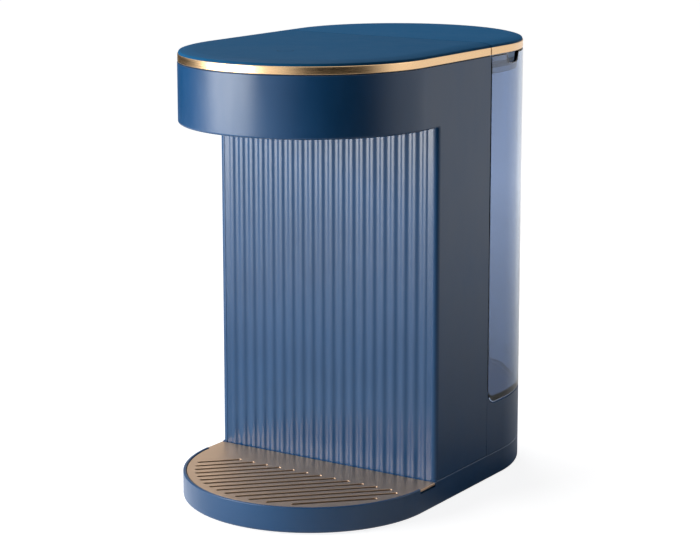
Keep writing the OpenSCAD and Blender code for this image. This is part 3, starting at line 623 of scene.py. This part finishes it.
def post(bm, x, y, height):
    """A screw post that stands on the base's floor."""
    section = [(POST_BORE, 0), (POST_RADIUS, 0), (POST_RADIUS, height), (POST_BORE, height)]
    ring(bm, (x, y, POST_FOOT), section, 32)


def block(bm, lowest, highest):
    """A box between two corners."""
    made = bmesh.ops.create_cube(bm, size=1.0)["verts"]
    spread = [b - a for a, b in zip(lowest, highest)]
    centre = [(a + b) / 2 for a, b in zip(lowest, highest)]
    bmesh.ops.scale(bm, verts=made, vec=spread)
    bmesh.ops.translate(bm, verts=made, vec=centre)


def oblong(bm, z, x, y_low, y_high):
    """The edges of a level oblong from -x to x."""
    return Pen(bm, "xy", z, (-x, y_low)).line((x, y_low), (x, y_high), (-x, y_high)).close()


def round_hole(bm, z, radius):
    """The edges of a level circle about the tank valve's axis."""
    verts = bmesh.ops.create_circle(bm, cap_ends=False, radius=radius, segments=64)["verts"]
    bmesh.ops.translate(bm, verts=verts, vec=(0, VALVE_Y, z))
    return list({e for v in verts for e in v.link_edges})


def slab(bm, edges, thickness):
    """Fills a flat outline with holes in it and gives the sheet its thickness."""
    made = bmesh.ops.triangle_fill(bm, use_beauty=True, use_dissolve=False, edges=edges)["geom"]
    faces = [g for g in made if isinstance(g, bmesh.types.BMFace)]
    made = bmesh.ops.extrude_face_region(bm, geom=faces, use_keep_orig=True)["geom"]
    bmesh.ops.translate(bm, verts=verts_of(made), vec=(0, 0, thickness))


def end_plan(bm, inset, y_cut, end, z, steps=64):
    """The body's outline on one side of a cut across it, as a pen's chain."""
    r = RADIUS - inset
    pen = Pen(bm, "xy", z, (-end * r, y_cut)).line((end * r, y_cut), (end * r, end * ARC_Y))
    return pen.arc((0, end * ARC_Y), 180, steps)


def cup(bm, inset, y_cut, end, z_low, z_high, front_round, steps=64):
    """An open-topped shell on that outline, and the round of its lower edge at the cut."""
    floor = end_plan(bm, inset, y_cut, end, z_low, steps).face()
    made = extrude_face(bm, floor, (0, 0, z_high - z_low))
    lid = [g for g in made if isinstance(g, bmesh.types.BMFace)]
    bmesh.ops.delete(bm, geom=lid, context="FACES_ONLY")
    edges = [
        e
        for e in floor.edges
        if all(abs(v.co.y - y_cut) < CLOSE and abs(v.co.z - z_low) < CLOSE for v in e.verts)
    ]
    bmesh.ops.bevel(
        bm,
        geom=edges,
        offset=front_round,
        offset_type="OFFSET",
        segments=12,
        profile=0.5,
        affect="EDGES",
        material=-1,
    )


def open_end(bm, y):
    """Takes away the faces in an upright plane across the body and returns their edges."""
    ends = [f for f in bm.faces if all(abs(v.co.y - y) < CLOSE for v in f.verts)]
    edges = list(ends[0].edges)
    bmesh.ops.delete(bm, geom=ends, context="FACES_ONLY")
    return edges


def rims(bm, z):
    """The boundary edges at one level."""
    return [
        e for e in bm.edges if e.is_boundary and all(abs(v.co.z - z) < LEVEL for v in e.verts)
    ]


def weigh(bm, rules):
    """Marks how much of a piece's bevel each edge gets, from (test, weight) rules."""
    layer = bm.edges.layers.float.new("bevel_weight_edge")
    for edge in bm.edges:
        if edge.calc_face_angle(0.0) < SHARP:
            continue
        a, b = edge.verts[0].co, edge.verts[1].co
        edge[layer] = next((weight for test, weight in rules if test(a, b)), 0.0)


def piece(name, bm, body, slot, nodes=(), bevel=0.0, segments=3, weighted=False):
    """Turns a drawn mesh into a piece that rides on a body and stands for its CAD nodes."""
    bmesh.ops.remove_doubles(bm, verts=bm.verts, dist=MERGE)
    bmesh.ops.recalc_face_normals(bm, faces=bm.faces)
    bmesh.ops.scale(bm, verts=bm.verts, vec=(1 / TO_MM,) * 3)
    for face in bm.faces:
        face.smooth = True
    if not bevel:
        for edge in bm.edges:
            edge.smooth = edge.calc_face_angle(0.0) < SHARP
    mesh = bpy.data.meshes.new(name)
    bm.to_mesh(mesh)
    bm.free()
    made = bpy.data.objects.new(name, mesh)
    bpy.context.scene.collection.objects.link(made)
    mesh.materials.append(finish_of(slot))
    if bevel:
        soft = made.modifiers.new("Soft edges", "BEVEL")
        soft.width = bevel / TO_MM
        soft.segments = segments
        soft.limit_method = "WEIGHT" if weighted else "ANGLE"
        soft.angle_limit = SHARP
        soft.use_clamp_overlap = True
        soft.miter_outer = "MITER_ARC" if weighted else "MITER_SHARP"
    level = made.modifiers.new("Even shading", "WEIGHTED_NORMAL")
    level.keep_sharp = True
    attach(made, body)
    if nodes:
        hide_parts(*nodes)


# Pieces


class WARMER_OT_finishes(bpy.types.Operator):
    """Make the finishes and put them on the CAD nodes that stay"""

    bl_idname = "warmer.finishes"
    bl_label = "Finishes"

    def execute(self, context):
        make_finishes()
        for part in frame["record"]["subparts"]:
            node = frame["nodes"][part["node"]]
            node.data.materials.clear()
            node.data.materials.append(finish_of(part["material_slot"]))
        return {"FINISHED"}


class WARMER_OT_housing(bpy.types.Operator):
    """Build the housing: the head's wall and the column's sides in one moulding"""

    bl_idname = "warmer.housing"
    bl_label = "Housing"

    def execute(self, context):
        bm = bmesh.new()
        thick = RADIUS - WALL_IN
        side = Pen(bm, "yz", RADIUS, (-ARC_Y, HEAD_LOW)).line(
            (COLUMN_FRONT, HEAD_LOW),
            (COLUMN_FRONT, BASE_TOP + SEAM),
            (COLUMN_BACK, BASE_TOP + SEAM),
            (COLUMN_BACK, HOUSING_TOP),
            (-ARC_Y, HOUSING_TOP),
        )
        extrude_face(bm, side.face(), (-thick, 0, 0))
        turn_edges(bm, open_end(bm, -ARC_Y), (0, -ARC_Y), -90, 64)
        mirror_x(bm)
        full = size("column_round")
        near = 0.01

        def outer(v):
            return abs(v.x) > RADIUS - near or (
                v.y < -ARC_Y and abs(math.hypot(v.x, v.y + ARC_Y) - RADIUS) < near
            )

        def column_edge(a, b):
            off = abs(a.y - COLUMN_FRONT) + abs(b.y - COLUMN_FRONT)
            return outer(a) and outer(b) and off < near

        def head_edge(a, b):
            off = abs(a.z - HEAD_LOW) + abs(b.z - HEAD_LOW)
            return outer(a) and outer(b) and off < near

        bm.normal_update()
        weigh(
            bm,
            [
                (column_edge, 1.0),
                (head_edge, size("head_round") / full),
                (lambda a, b: True, size("soft_edge") / full),
            ],
        )
        piece("housing_shell", bm, "machine", "navy_satin", ["main_housing"], full, 6, True)

        bm = bmesh.new()
        post_top, stay_top = 18, 26
        ledge = Pen(bm, "xz", COLUMN_BACK, (WALL_IN, HOUSING_TOP - 0.5)).line(
            (WALL_IN + 2, HOUSING_TOP - 0.5), (WALL_IN + 2, TRIM_LOW), (WALL_IN, TRIM_LOW)
        )
        sweep(bm, ledge.face(), COLUMN_BACK, -1)
        mirror_x(bm)
        for x in (-56, 56):
            for y in (-16, 14):
                post(bm, x, y, post_top)
                inner = math.copysign(WALL_IN, x)
                block(
                    bm, (min(x, inner), y - 1, post_top), (max(x, inner), y + 1, stay_top)
                )
        catch_width, catch_height = 5, 12
        for z in (60, 150, 212):
            for side in (-1, 1):
                x = sorted((side * (WALL_IN - catch_width), side * WALL_IN))
                block(
                    bm,
                    (x[0], COLUMN_BACK - 5.4, z),
                    (x[1], COLUMN_BACK - 2.4, z + catch_height),
                )
        boss = [(0, 0), (2.6, 0), (2.6, 3), (0, 3)]
        for y in (-10, 8):
            for z in (98, 180):
                ring(bm, (-WALL_IN, y, z), boss, 24, "x")
        piece("housing_ribs", bm, "machine", "navy_satin")
        return {"FINISHED"}


class WARMER_OT_fluted_panel(bpy.types.Operator):
    """Build the fluted front of the column"""

    bl_idname = "warmer.fluted_panel"
    bl_label = "Fluted panel"

    def execute(self, context):
        count = size("flute_count")
        depth = size("flute_depth")
        lowest, highest = low("fluted_panel"), high("fluted_panel")
        margin, edge_drop = 1.2, 0.1
        pitch = 2 * (WALL_IN - margin) / count
        bend = (pitch**2 / 4 + depth**2) / (4 * depth)
        half = math.degrees(math.asin(pitch / 4 / bend))
        crest = lowest.y
        middle = crest + depth / 2
        edge = WALL_IN - 0.02
        bm = bmesh.new()
        pen = Pen(bm, "xy", lowest.z, (-edge, crest + edge_drop)).line(
            (-pitch * (count / 2 - 0.25), middle)
        )
        for i in range(count):
            x = (i - (count - 1) / 2) * pitch
            pen.arc((x, crest + bend), 2 * half, 10)
            if i < count - 1:
                pen.arc((x + pitch / 2, crest + depth - bend), -2 * half, 10)
        pen.line((edge, crest + edge_drop), (edge, highest.y), (-edge, highest.y))
        extrude_face(bm, pen.face(), (0, 0, highest.z - lowest.z))
        piece("fluted_front", bm, "machine", "navy_fluted", ["fluted_panel"])
        return {"FINISHED"}


def crowned_section(bm, y_end, plate_low):
    """Half the section of a top: level middle, gentle crown, round edge, stepped underside."""
    rise, width, edge = size("crown_rise"), size("crown_width"), size("crown_edge")
    turn = 2 * math.atan((rise - edge) / (width - edge))
    bend = edge + (width - edge) / math.sin(turn)
    rim = RADIUS - 0.5
    plate = RADIUS - 2.3
    pen = Pen(bm, "xz", y_end, (0, TOP)).line((rim - width, TOP))
    pen.arc((rim - width, TOP - bend), -math.degrees(turn), 14)
    pen.arc((rim - edge, TOP - rise), math.degrees(turn) - 90, 10)
    pen.line((rim, TRIM_TOP), (plate, TRIM_TOP), (plate, plate_low), (0, plate_low))
    return pen.face()


class WARMER_OT_tops(bpy.types.Operator):
    """Build the crowned top of the head and the lid that carries the crown on"""

    bl_idname = "warmer.tops"
    bl_label = "Tops"

    def execute(self, context):
        plate_low = TRIM_TOP - RIB
        rib_low = plate_low - RIB
        bm = bmesh.new()
        sweep(bm, crowned_section(bm, COLUMN_BACK, plate_low), COLUMN_BACK, -1, 72)
        mirror_x(bm)
        window = oblong(bm, rib_low, 26, -96, -4) + oblong(bm, rib_low, 24.5, -94.5, -5.5)
        slab(bm, window, RIB)
        piece("top_cover", bm, "machine", "navy_top", ["top_panel"])

        bm = bmesh.new()
        sweep(bm, crowned_section(bm, TANK_FRONT, plate_low), TANK_FRONT, 1, 72)
        mirror_x(bm)
        inset, reach = 3.3, 12
        rim = end_plan(bm, inset, TANK_FRONT + inset, 1, rib_low).close()
        hole = end_plan(bm, reach, TANK_FRONT + reach, 1, rib_low).close()
        slab(bm, rim + hole, RIB)
        lip = RADIUS - 2.4
        block(
            bm, (-lip, TANK_FRONT, TRIM_LOW + 0.2), (lip, TANK_FRONT + 1.4, plate_low)
        )
        piece("lid_cover", bm, "lid", "navy_top", ["lid_shell"])
        return {"FINISHED"}


class WARMER_OT_trim(bpy.types.Operator):
    """Build the metal band: one half on the head, one on the lid"""

    bl_idname = "warmer.trim"
    bl_label = "Trim band"

    def execute(self, context):
        outer = RADIUS - 0.15
        inner = outer - 1.75
        halves = (
            ("front_band", "machine", "front_trim", COLUMN_BACK, -1),
            ("lid_band", "lid", "lid_trim", TANK_FRONT, 1),
        )
        for name, body, node, y_end, end in halves:
            bm = bmesh.new()
            section = Pen(bm, "xz", y_end, (inner, TRIM_LOW)).line(
                (outer, TRIM_LOW), (outer, TRIM_TOP), (inner, TRIM_TOP)
            )
            sweep(bm, section.face(), y_end, end, 72)
            mirror_x(bm)
            piece(name, bm, body, "gold_trim", [node], 0.35, 4)
        return {"FINISHED"}


class WARMER_OT_grille(bpy.types.Operator):
    """Build the drip grille with its diagonal slots and side tabs, and the pan under it"""

    bl_idname = "warmer.grille"
    bl_label = "Grille and pan"

    def execute(self, context):
        bm = bmesh.new()
        inset, back = 1.9, high("drip_grille").y
        tab_y = -43.2
        r, tab_r = RADIUS - inset, RADIUS - 0.1
        drop = -ARC_Y - tab_y
        start = math.degrees(math.asin(drop / r))
        at_tab, at_plate = math.sqrt(tab_r**2 - drop**2), math.sqrt(r**2 - drop**2)
        pen = Pen(bm, "xy", GRILLE_LOW, (tab_r, back)).line(
            (tab_r, -ARC_Y), (at_tab, tab_y), (at_plate, tab_y)
        )
        pen.arc((0, -ARC_Y), start * 2 - 180, 96)
        pen.line((-at_tab, tab_y), (-tab_r, -ARC_Y), (-tab_r, back))
        pen.close()
        width, pitch = size("slot_width"), size("slot_pitch")
        first_slot, rim_width, back_margin = 21, 6, 10
        eighth = Matrix.Rotation(math.pi / 4, 3, "Z")
        for i in range(size("slot_count")):
            offset = first_slot - i * pitch
            reach = math.sqrt((RADIUS - rim_width) ** 2 - offset**2) - width / 2
            far = min(reach, -math.sqrt(2) * back_margin - offset)
            slot = Pen(bm, "xy", GRILLE_LOW, (-reach, offset - width / 2)).line(
                (far, offset - width / 2)
            )
            slot.arc((far, offset), 180, 10).line((-reach, offset + width / 2))
            slot.arc((-reach, offset), 180, 10)
            verts = list({v for e in slot.close() for v in e.verts})
            bmesh.ops.rotate(bm, verts=verts, cent=(0, 0, 0), matrix=eighth)
            bmesh.ops.translate(bm, verts=verts, vec=(0, -ARC_Y, 0))
        bmesh.ops.remove_doubles(bm, verts=bm.verts, dist=MERGE)
        slab(bm, bm.edges[:], GRILLE_TOP - GRILLE_LOW)
        piece("slotted_grille", bm, "grille", "gold_plate", ["drip_grille"], 0.18, 2)

        bm = bmesh.new()
        cup(bm, 2.0, COLUMN_FRONT - 0.6, -1, PAN_LOW, PAN_TOP, 2.0)
        cup(bm, 2.0 + RIB, COLUMN_FRONT - 0.6 - RIB, -1, PAN_LOW + RIB, PAN_TOP, 1.0)
        bmesh.ops.bridge_loops(bm, edges=rims(bm, PAN_TOP))
        for x in (-30, 0, 30):
            block(bm, (x - 0.7, -88, PAN_LOW + 1), (x + 0.7, -36, PAN_LOW + 2.2))
        piece("catch_pan", bm, "pan", "pan_dark", ["drip_pan"], 0.4, 3)
        return {"FINISHED"}


class WARMER_OT_tank(bpy.types.Operator):
    """Build the clear tank with its finger notches and the hole for its valve"""

    bl_idname = "warmer.tank"
    bl_label = "Tank"

    def execute(self, context):
        bm = bmesh.new()
        wall = size("tank_wall")
        floor = TANK_LOW + 3
        bore = 9.0
        cup(bm, 0, TANK_FRONT, 1, TANK_LOW, TANK_TOP, TANK_CORNER, 240)
        cup(bm, wall, TANK_FRONT + wall, 1, floor, TANK_TOP, TANK_CORNER - wall, 240)
        bmesh.ops.bridge_loops(bm, edges=rims(bm, TANK_TOP))
        for z in (TANK_LOW, floor):
            flat = [
                f
                for f in bm.faces
                if len(f.verts) > 8 and all(abs(v.co.z - z) < LEVEL for v in f.verts)
            ]
            edges = list(flat[0].edges)
            bmesh.ops.delete(bm, geom=flat, context="FACES_ONLY")
            edges += round_hole(bm, z, bore)
            bmesh.ops.triangle_fill(bm, use_beauty=True, use_dissolve=False, edges=edges)

        def in_bore(v):
            return math.hypot(v.co.x, v.co.y - VALVE_Y) < bore + 0.1

        holes = [e for e in bm.edges if e.is_boundary and all(in_bore(v) for v in e.verts)]
        bmesh.ops.bridge_loops(bm, edges=holes)
        depth, notch_y, notch_half, fullness = size("notch_depth"), 48.5, 7, 3.2
        for v in bm.verts:
            reach = abs(v.co.y - notch_y) / notch_half
            if abs(v.co.z - TANK_TOP) < LEVEL and reach < 1 and abs(v.co.x) > 40:
                v.co.z -= depth * (1 - reach**fullness) ** (1 / fullness)
        piece("clear_tank", bm, "tank", "tank_clear", ["tank_shell"], 0.7, 3)

        bm = bmesh.new()
        ring(bm, (0, VALVE_Y, floor - 0.1), [(12.05, 0), (14, 0), (14, 1.6), (12.05, 1.6)], 64)
        piece("valve_collar", bm, "tank", "tank_clear", (), 0.25, 2)
        return {"FINISHED"}


class WARMER_OT_dock(bpy.types.Operator):
    """Build the lower rear shell with the ears that hold the tank's corners"""

    bl_idname = "warmer.dock"
    bl_label = "Tank dock"

    def execute(self, context):
        bm = bmesh.new()
        ear = 8.0
        start = TANK_FRONT + TANK_CORNER - ear
        side = Pen(bm, "yz", RADIUS, (COLUMN_BACK, BASE_TOP + SEAM)).line(
            (COLUMN_BACK, DOCK_TOP + ear), (start, DOCK_TOP + ear)
        )
        side.arc((start + ear, DOCK_TOP + ear), 90, 16)
        side.line((ARC_Y, DOCK_TOP), (ARC_Y, BASE_TOP + SEAM))
        extrude_face(bm, side.face(), (WALL_IN - RADIUS, 0, 0))
        turn_edges(bm, open_end(bm, ARC_Y), (0, ARC_Y), 90, 64)
        mirror_x(bm)
        full = 0.8

        def rim(a, b):
            lowest, highest = sorted((a.z, b.z))
            return DOCK_TOP - 0.1 < lowest and highest < DOCK_TOP + ear - 0.2 and all(
                math.hypot(v.x, max(v.y - ARC_Y, 0)) > RADIUS - 0.01 for v in (a, b)
            )

        bm.normal_update()
        weigh(bm, [(rim, 1.0), (lambda a, b: True, 0.12 / full)])
        piece("dock_shell", bm, "machine", "navy_satin", ["tank_dock"], full, 4, True)

        bm = bmesh.new()
        deck = DOCK_TOP - 3.4
        edges = end_plan(bm, RADIUS - WALL_IN - 0.2, COLUMN_BACK, 1, deck).close()
        edges += round_hole(bm, deck, 14.05)
        slab(bm, edges, 2.0)
        for x, y in ((-50, 44), (50, 44), (-24, 88), (24, 88)):
            post(bm, x, y, deck - POST_FOOT + 0.1)
        for x in (-30, 30):
            block(bm, (x - 0.8, 56, deck - 6), (x + 0.8, 84, deck + 0.1))
        piece("dock_deck", bm, "machine", "navy_satin", (), 0.2, 2)
        return {"FINISHED"}


class WARMER_OT_spout(bpy.types.Operator):
    """Build the silicone spout under the head"""

    bl_idname = "warmer.spout"
    bl_label = "Spout"

    def execute(self, context):
        bm = bmesh.new()
        lowest, highest = low("spout").z, high("spout").z
        # Lip, nozzle, groove and flange outside, then the bore with its funnel
        section = [
            (3.2, lowest + 0.6),
            (3.8, lowest),
            (6.3, lowest),
            (7.0, lowest + 0.9),
            (7.0, lowest + 5.6),
            (6.3, lowest + 6.5),
            (9.0, lowest + 6.6),
            (9.0, highest),
            (5.0, highest),
            (5.0, lowest + 9.6),
            (3.2, lowest + 8.6),
        ]
        ring(bm, (0, SPOUT_Y, 0), section, 64)
        piece("spout_nozzle", bm, "machine", "rubber_dark", ["spout"], 0.3, 3)
        return {"FINISHED"}


class WARMER_OT_soft_copies(bpy.types.Operator):
    """Give the plainer mouldings soft edges on merged copies of their CAD solids"""

    bl_idname = "warmer.soft_copies"
    bl_label = "Softened mouldings"

    COPIES = {
        "base_shell": ("base_tub", "machine", 0.35),
        "soft_feet": ("rubber_feet", "machine", 0.3),
        "gland_ring": ("cord_gland", "machine", 0.2),
        "head_floor": ("head_underside", "machine", 0.25),
        "back_wall": ("rear_wall", "machine", 0.3),
        "clear_skirt": ("lid_skirt", "lid", 0.3),
    }

    def execute(self, context):
        slots = {p["node"]: p["material_slot"] for p in frame["record"]["subparts"]}
        for name, (node, body, bevel) in self.COPIES.items():
            bm = bmesh.new()
            bm.from_mesh(frame["nodes"][node].data)
            bmesh.ops.scale(bm, verts=bm.verts, vec=(TO_MM,) * 3)
            bmesh.ops.remove_doubles(bm, verts=bm.verts, dist=0.002)
            bmesh.ops.dissolve_limit(
                bm, angle_limit=math.radians(0.5), verts=bm.verts, edges=bm.edges
            )
            piece(name, bm, body, slots[node], [node], bevel, 3)
        return {"FINISHED"}


# Stage

# Azimuth, distance, level, width, height, radiance and the level of its aim
LAMPS = {
    "key_softbox": (-35, 0.74, 0.24, 0.56, 0.42, 9.0, 0.13),
    "top_softbox": (-125, 0.6, 1.15, 0.6, 0.6, 5.5, 0.2),
    "side_softbox": (115, 1.0, 0.5, 0.34, 0.5, 2.0, 0.13),
}
# First and last azimuth, distance, lowest and highest level
CARDS = {
    "right_card": (8, 97, 0.6, 0.0, 0.5),
    "left_card": (-140, -62, 0.9, 0.0, 0.5),
    "back_card": (-190, -100, 0.8, 0.27, 0.8),
}
WORLD_FILL = 0.02
CAMERA_PLACE = (0.5819, -0.9043, 0.3415)
CAMERA_AZIMUTH = math.radians(32.917)
CAMERA_PITCH = math.radians(10.416)


def backdrop_share(paint):
    """1 for rays that see the background: from the camera, off a gloss or through glass."""
    path = paint.tree.nodes.new("ShaderNodeLightPath")
    seen = [Wire(paint, path.outputs[f"Is {kind} Ray"]) for kind in ("Glossy", "Transmission")]
    return Wire(paint, path.outputs["Is Camera Ray"]), seen[0].math("MAXIMUM", *seen)


def mesh_object(name, bm, material):
    """Turns a drawn mesh into a part of the stage."""
    mesh = bpy.data.meshes.new(name)
    bm.to_mesh(mesh)
    bm.free()
    mesh.materials.append(material)
    made = bpy.data.objects.new(name, mesh)
    bpy.context.scene.collection.objects.link(made)
    return made


def soft_lamp(name, azimuth, distance, z, width, height, radiance, aim_z):
    """A softbox: azimuth 0 is in front of the machine and grows toward +X."""
    light = bpy.data.lights.new(name, "AREA")
    light.shape = "RECTANGLE"
    light.size = width
    light.size_y = height
    light.energy = radiance * math.pi * width * height
    lamp = bpy.data.objects.new(name, light)
    a = math.radians(azimuth)
    lamp.location = (math.sin(a) * distance, -math.cos(a) * distance, z)
    lamp.rotation_mode = "QUATERNION"
    lamp.rotation_quaternion = (Vector((0, 0, aim_z)) - lamp.location).to_track_quat(
        "-Z", "Y"
    )
    lamp.visible_camera = False
    bpy.context.scene.collection.objects.link(lamp)


class WARMER_OT_stage(bpy.types.Operator):
    """Set up the pale floor, the black cards, the softboxes and the camera"""

    bl_idname = "warmer.stage"
    bl_label = "Stage"

    def execute(self, context):
        scene = context.scene
        scene.view_settings.view_transform = "Standard"
        self.floor()
        self.cards()
        self.world(scene)
        for name, values in LAMPS.items():
            soft_lamp(name, *values)
        self.camera(scene)
        return {"FINISHED"}

    def floor(self):
        """A floor that is white to the camera and keeps the shadow. Gloss sees it lit far off."""
        paint = Paint("pale_floor")
        camera, seen = backdrop_share(paint)
        away = (paint.axis("X") ** 2 + paint.axis("Y") ** 2) ** 0.5
        # For gloss and glass the floor's glow grows from nothing near the machine. That is painted
        # shade on top of its real shadow there. To the camera the same ramp lifts the far floor to
        # white.
        far = paint.remap(away, 0.15, 1.0, 0.0, 1.0)
        # near times front is a painted pool of light on the floor just in front of the machine. It
        # is seen only in gloss and through glass.
        near = paint.remap(away, 0.14, 0.30, 0.8, 0.0)
        front = paint.remap(paint.axis("Y"), -0.09, 0.0, 1.0, 0.0)
        sheet = paint.mix(seen, (0.3, 0.3, 0.3), (0.8, 0.8, 0.8))
        diffuse = paint.node("ShaderNodeBsdfDiffuse", inputs={"Color": sheet})
        gloss_glow_and_painted_pool = paint.node(
            "ShaderNodeEmission", inputs={"Strength": seen * (far * 0.95 + near * front)}
        )
        lit = paint.node("ShaderNodeAddShader", inputs={0: diffuse, 1: gloss_glow_and_painted_pool})
        pale = paint.node("ShaderNodeBsdfDiffuse", inputs={"Color": (0.5, 0.5, 0.5)})
        white = paint.node("ShaderNodeEmission", inputs={"Strength": far * 0.13 + 0.87})
        shown = paint.node("ShaderNodeAddShader", inputs={0: pale, 1: white})
        mixed = paint.node("ShaderNodeMixShader", inputs={0: camera, 1: lit, 2: shown})
        bm = bmesh.new()
        bmesh.ops.create_grid(bm, x_segments=1, y_segments=1, size=8.0)
        mesh_object("floor", bm, paint.output(mixed))

    def cards(self):
        """Black cards round the machine, which keep its gloss deep as in a dark room."""
        for name, (first, last, away, z_low, z_high) in CARDS.items():
            bm = bmesh.new()
            a = math.radians(first)
            ends = [(math.sin(a) * away, -math.cos(a) * away, z) for z in (z_low, z_high)]
            edge = bm.edges.new([bm.verts.new(end) for end in ends])
            turn_edges(bm, [edge], (0, 0), last - first, 16)
            card = mesh_object(name, bm, self.felt(name, first, last, away, z_low, z_high))
            card.visible_camera = False
            card.visible_transmission = False
            card.visible_shadow = False

    def felt(self, name, first, last, away, z_low, z_high):
        """Black felt that thins out to nothing towards the card's edges."""
        whole, foot_fade, top_fade = 0.5, 0.035, 0.18
        paint = Paint(name + "_felt")
        middle, half = math.radians((first + last) / 2), math.radians((last - first) / 2)
        along = paint.axis("X") * (math.sin(middle) / away) - paint.axis("Y") * (
            math.cos(middle) / away
        )
        cover = paint.remap(along, math.cos(half), math.cos(half * whole), 0.0, 1.0)
        cover = cover * paint.remap(paint.axis("Z"), z_high - top_fade, z_high, 1.0, 0.0)
        cover = cover * paint.remap(paint.axis("Z"), z_low, z_low + foot_fade, 0.0, 1.0)
        black = paint.node("ShaderNodeBsdfDiffuse", inputs={"Color": (0.004, 0.004, 0.004)})
        bare = paint.node("ShaderNodeBsdfTransparent")
        mixed = paint.node("ShaderNodeMixShader", inputs={0: cover, 1: bare, 2: black})
        return paint.output(mixed)

    def world(self, scene):
        """White to rays that see the background, and nearly dark to the rest."""
        scene.world = bpy.data.worlds.new("pale_room")
        paint = Paint("pale_room", scene.world)
        camera, seen = backdrop_share(paint)
        level = paint.remap(camera.math("MAXIMUM", camera, seen), 0.0, 1.0, WORLD_FILL, 1.0)
        white = {"Color": (1.0, 1.0, 1.0), "Strength": level}
        paint.output(paint.node("ShaderNodeBackground", inputs=white))

    def camera(self, scene):
        data = bpy.data.cameras.new("camera")
        data.lens = 107.0
        data.sensor_width = 36.0
        data.shift_y = -0.1
        data.clip_start = 0.05
        data.clip_end = 60.0
        data.dof.use_dof = False
        camera = bpy.data.objects.new("camera", data)
        scene.collection.objects.link(camera)
        level = math.cos(CAMERA_PITCH)
        forward = Vector(
            (
                -math.sin(CAMERA_AZIMUTH) * level,
                math.cos(CAMERA_AZIMUTH) * level,
                -math.sin(CAMERA_PITCH),
            )
        )
        camera.location = CAMERA_PLACE
        camera.rotation_mode = "QUATERNION"
        camera.rotation_quaternion = forward.to_track_quat("-Z", "Y")
        scene.camera = camera


class WARMER_PT_panel(bpy.types.Panel):
    """The warmer's pieces, sizes and colours"""

    bl_label = "Water warmer"
    bl_idname = "WARMER_PT_panel"
    bl_space_type = "VIEW_3D"
    bl_region_type = "UI"
    bl_category = "Warmer"

    def draw(self, context):
        for operator in OPERATORS:
            self.layout.operator(operator.bl_idname)
        for group in (context.scene.warmer_sizes, context.scene.warmer_colours):
            box = self.layout.box()
            for name in group.__annotations__:
                box.prop(group, name)


OPERATORS = (
    WARMER_OT_stage,
    WARMER_OT_finishes,
    WARMER_OT_housing,
    WARMER_OT_fluted_panel,
    WARMER_OT_tops,
    WARMER_OT_trim,
    WARMER_OT_grille,
    WARMER_OT_tank,
    WARMER_OT_dock,
    WARMER_OT_spout,
    WARMER_OT_soft_copies,
)
CLASSES = (WarmerSizes, WarmerColours, *OPERATORS, WARMER_PT_panel)


def register():
    for cls in CLASSES:
        bpy.utils.register_class(cls)
    bpy.types.Scene.warmer_sizes = bpy.props.PointerProperty(type=WarmerSizes)
    bpy.types.Scene.warmer_colours = bpy.props.PointerProperty(type=WarmerColours)


def unregister():
    del bpy.types.Scene.warmer_colours
    del bpy.types.Scene.warmer_sizes
    for cls in reversed(CLASSES):
        bpy.utils.unregister_class(cls)


def main():
    register()
    for operator in OPERATORS:
        group, name = operator.bl_idname.split(".")
        getattr(getattr(bpy.ops, group), name)()
    bpy.context.view_layer.update()


if __name__ == "__main__":
    main()
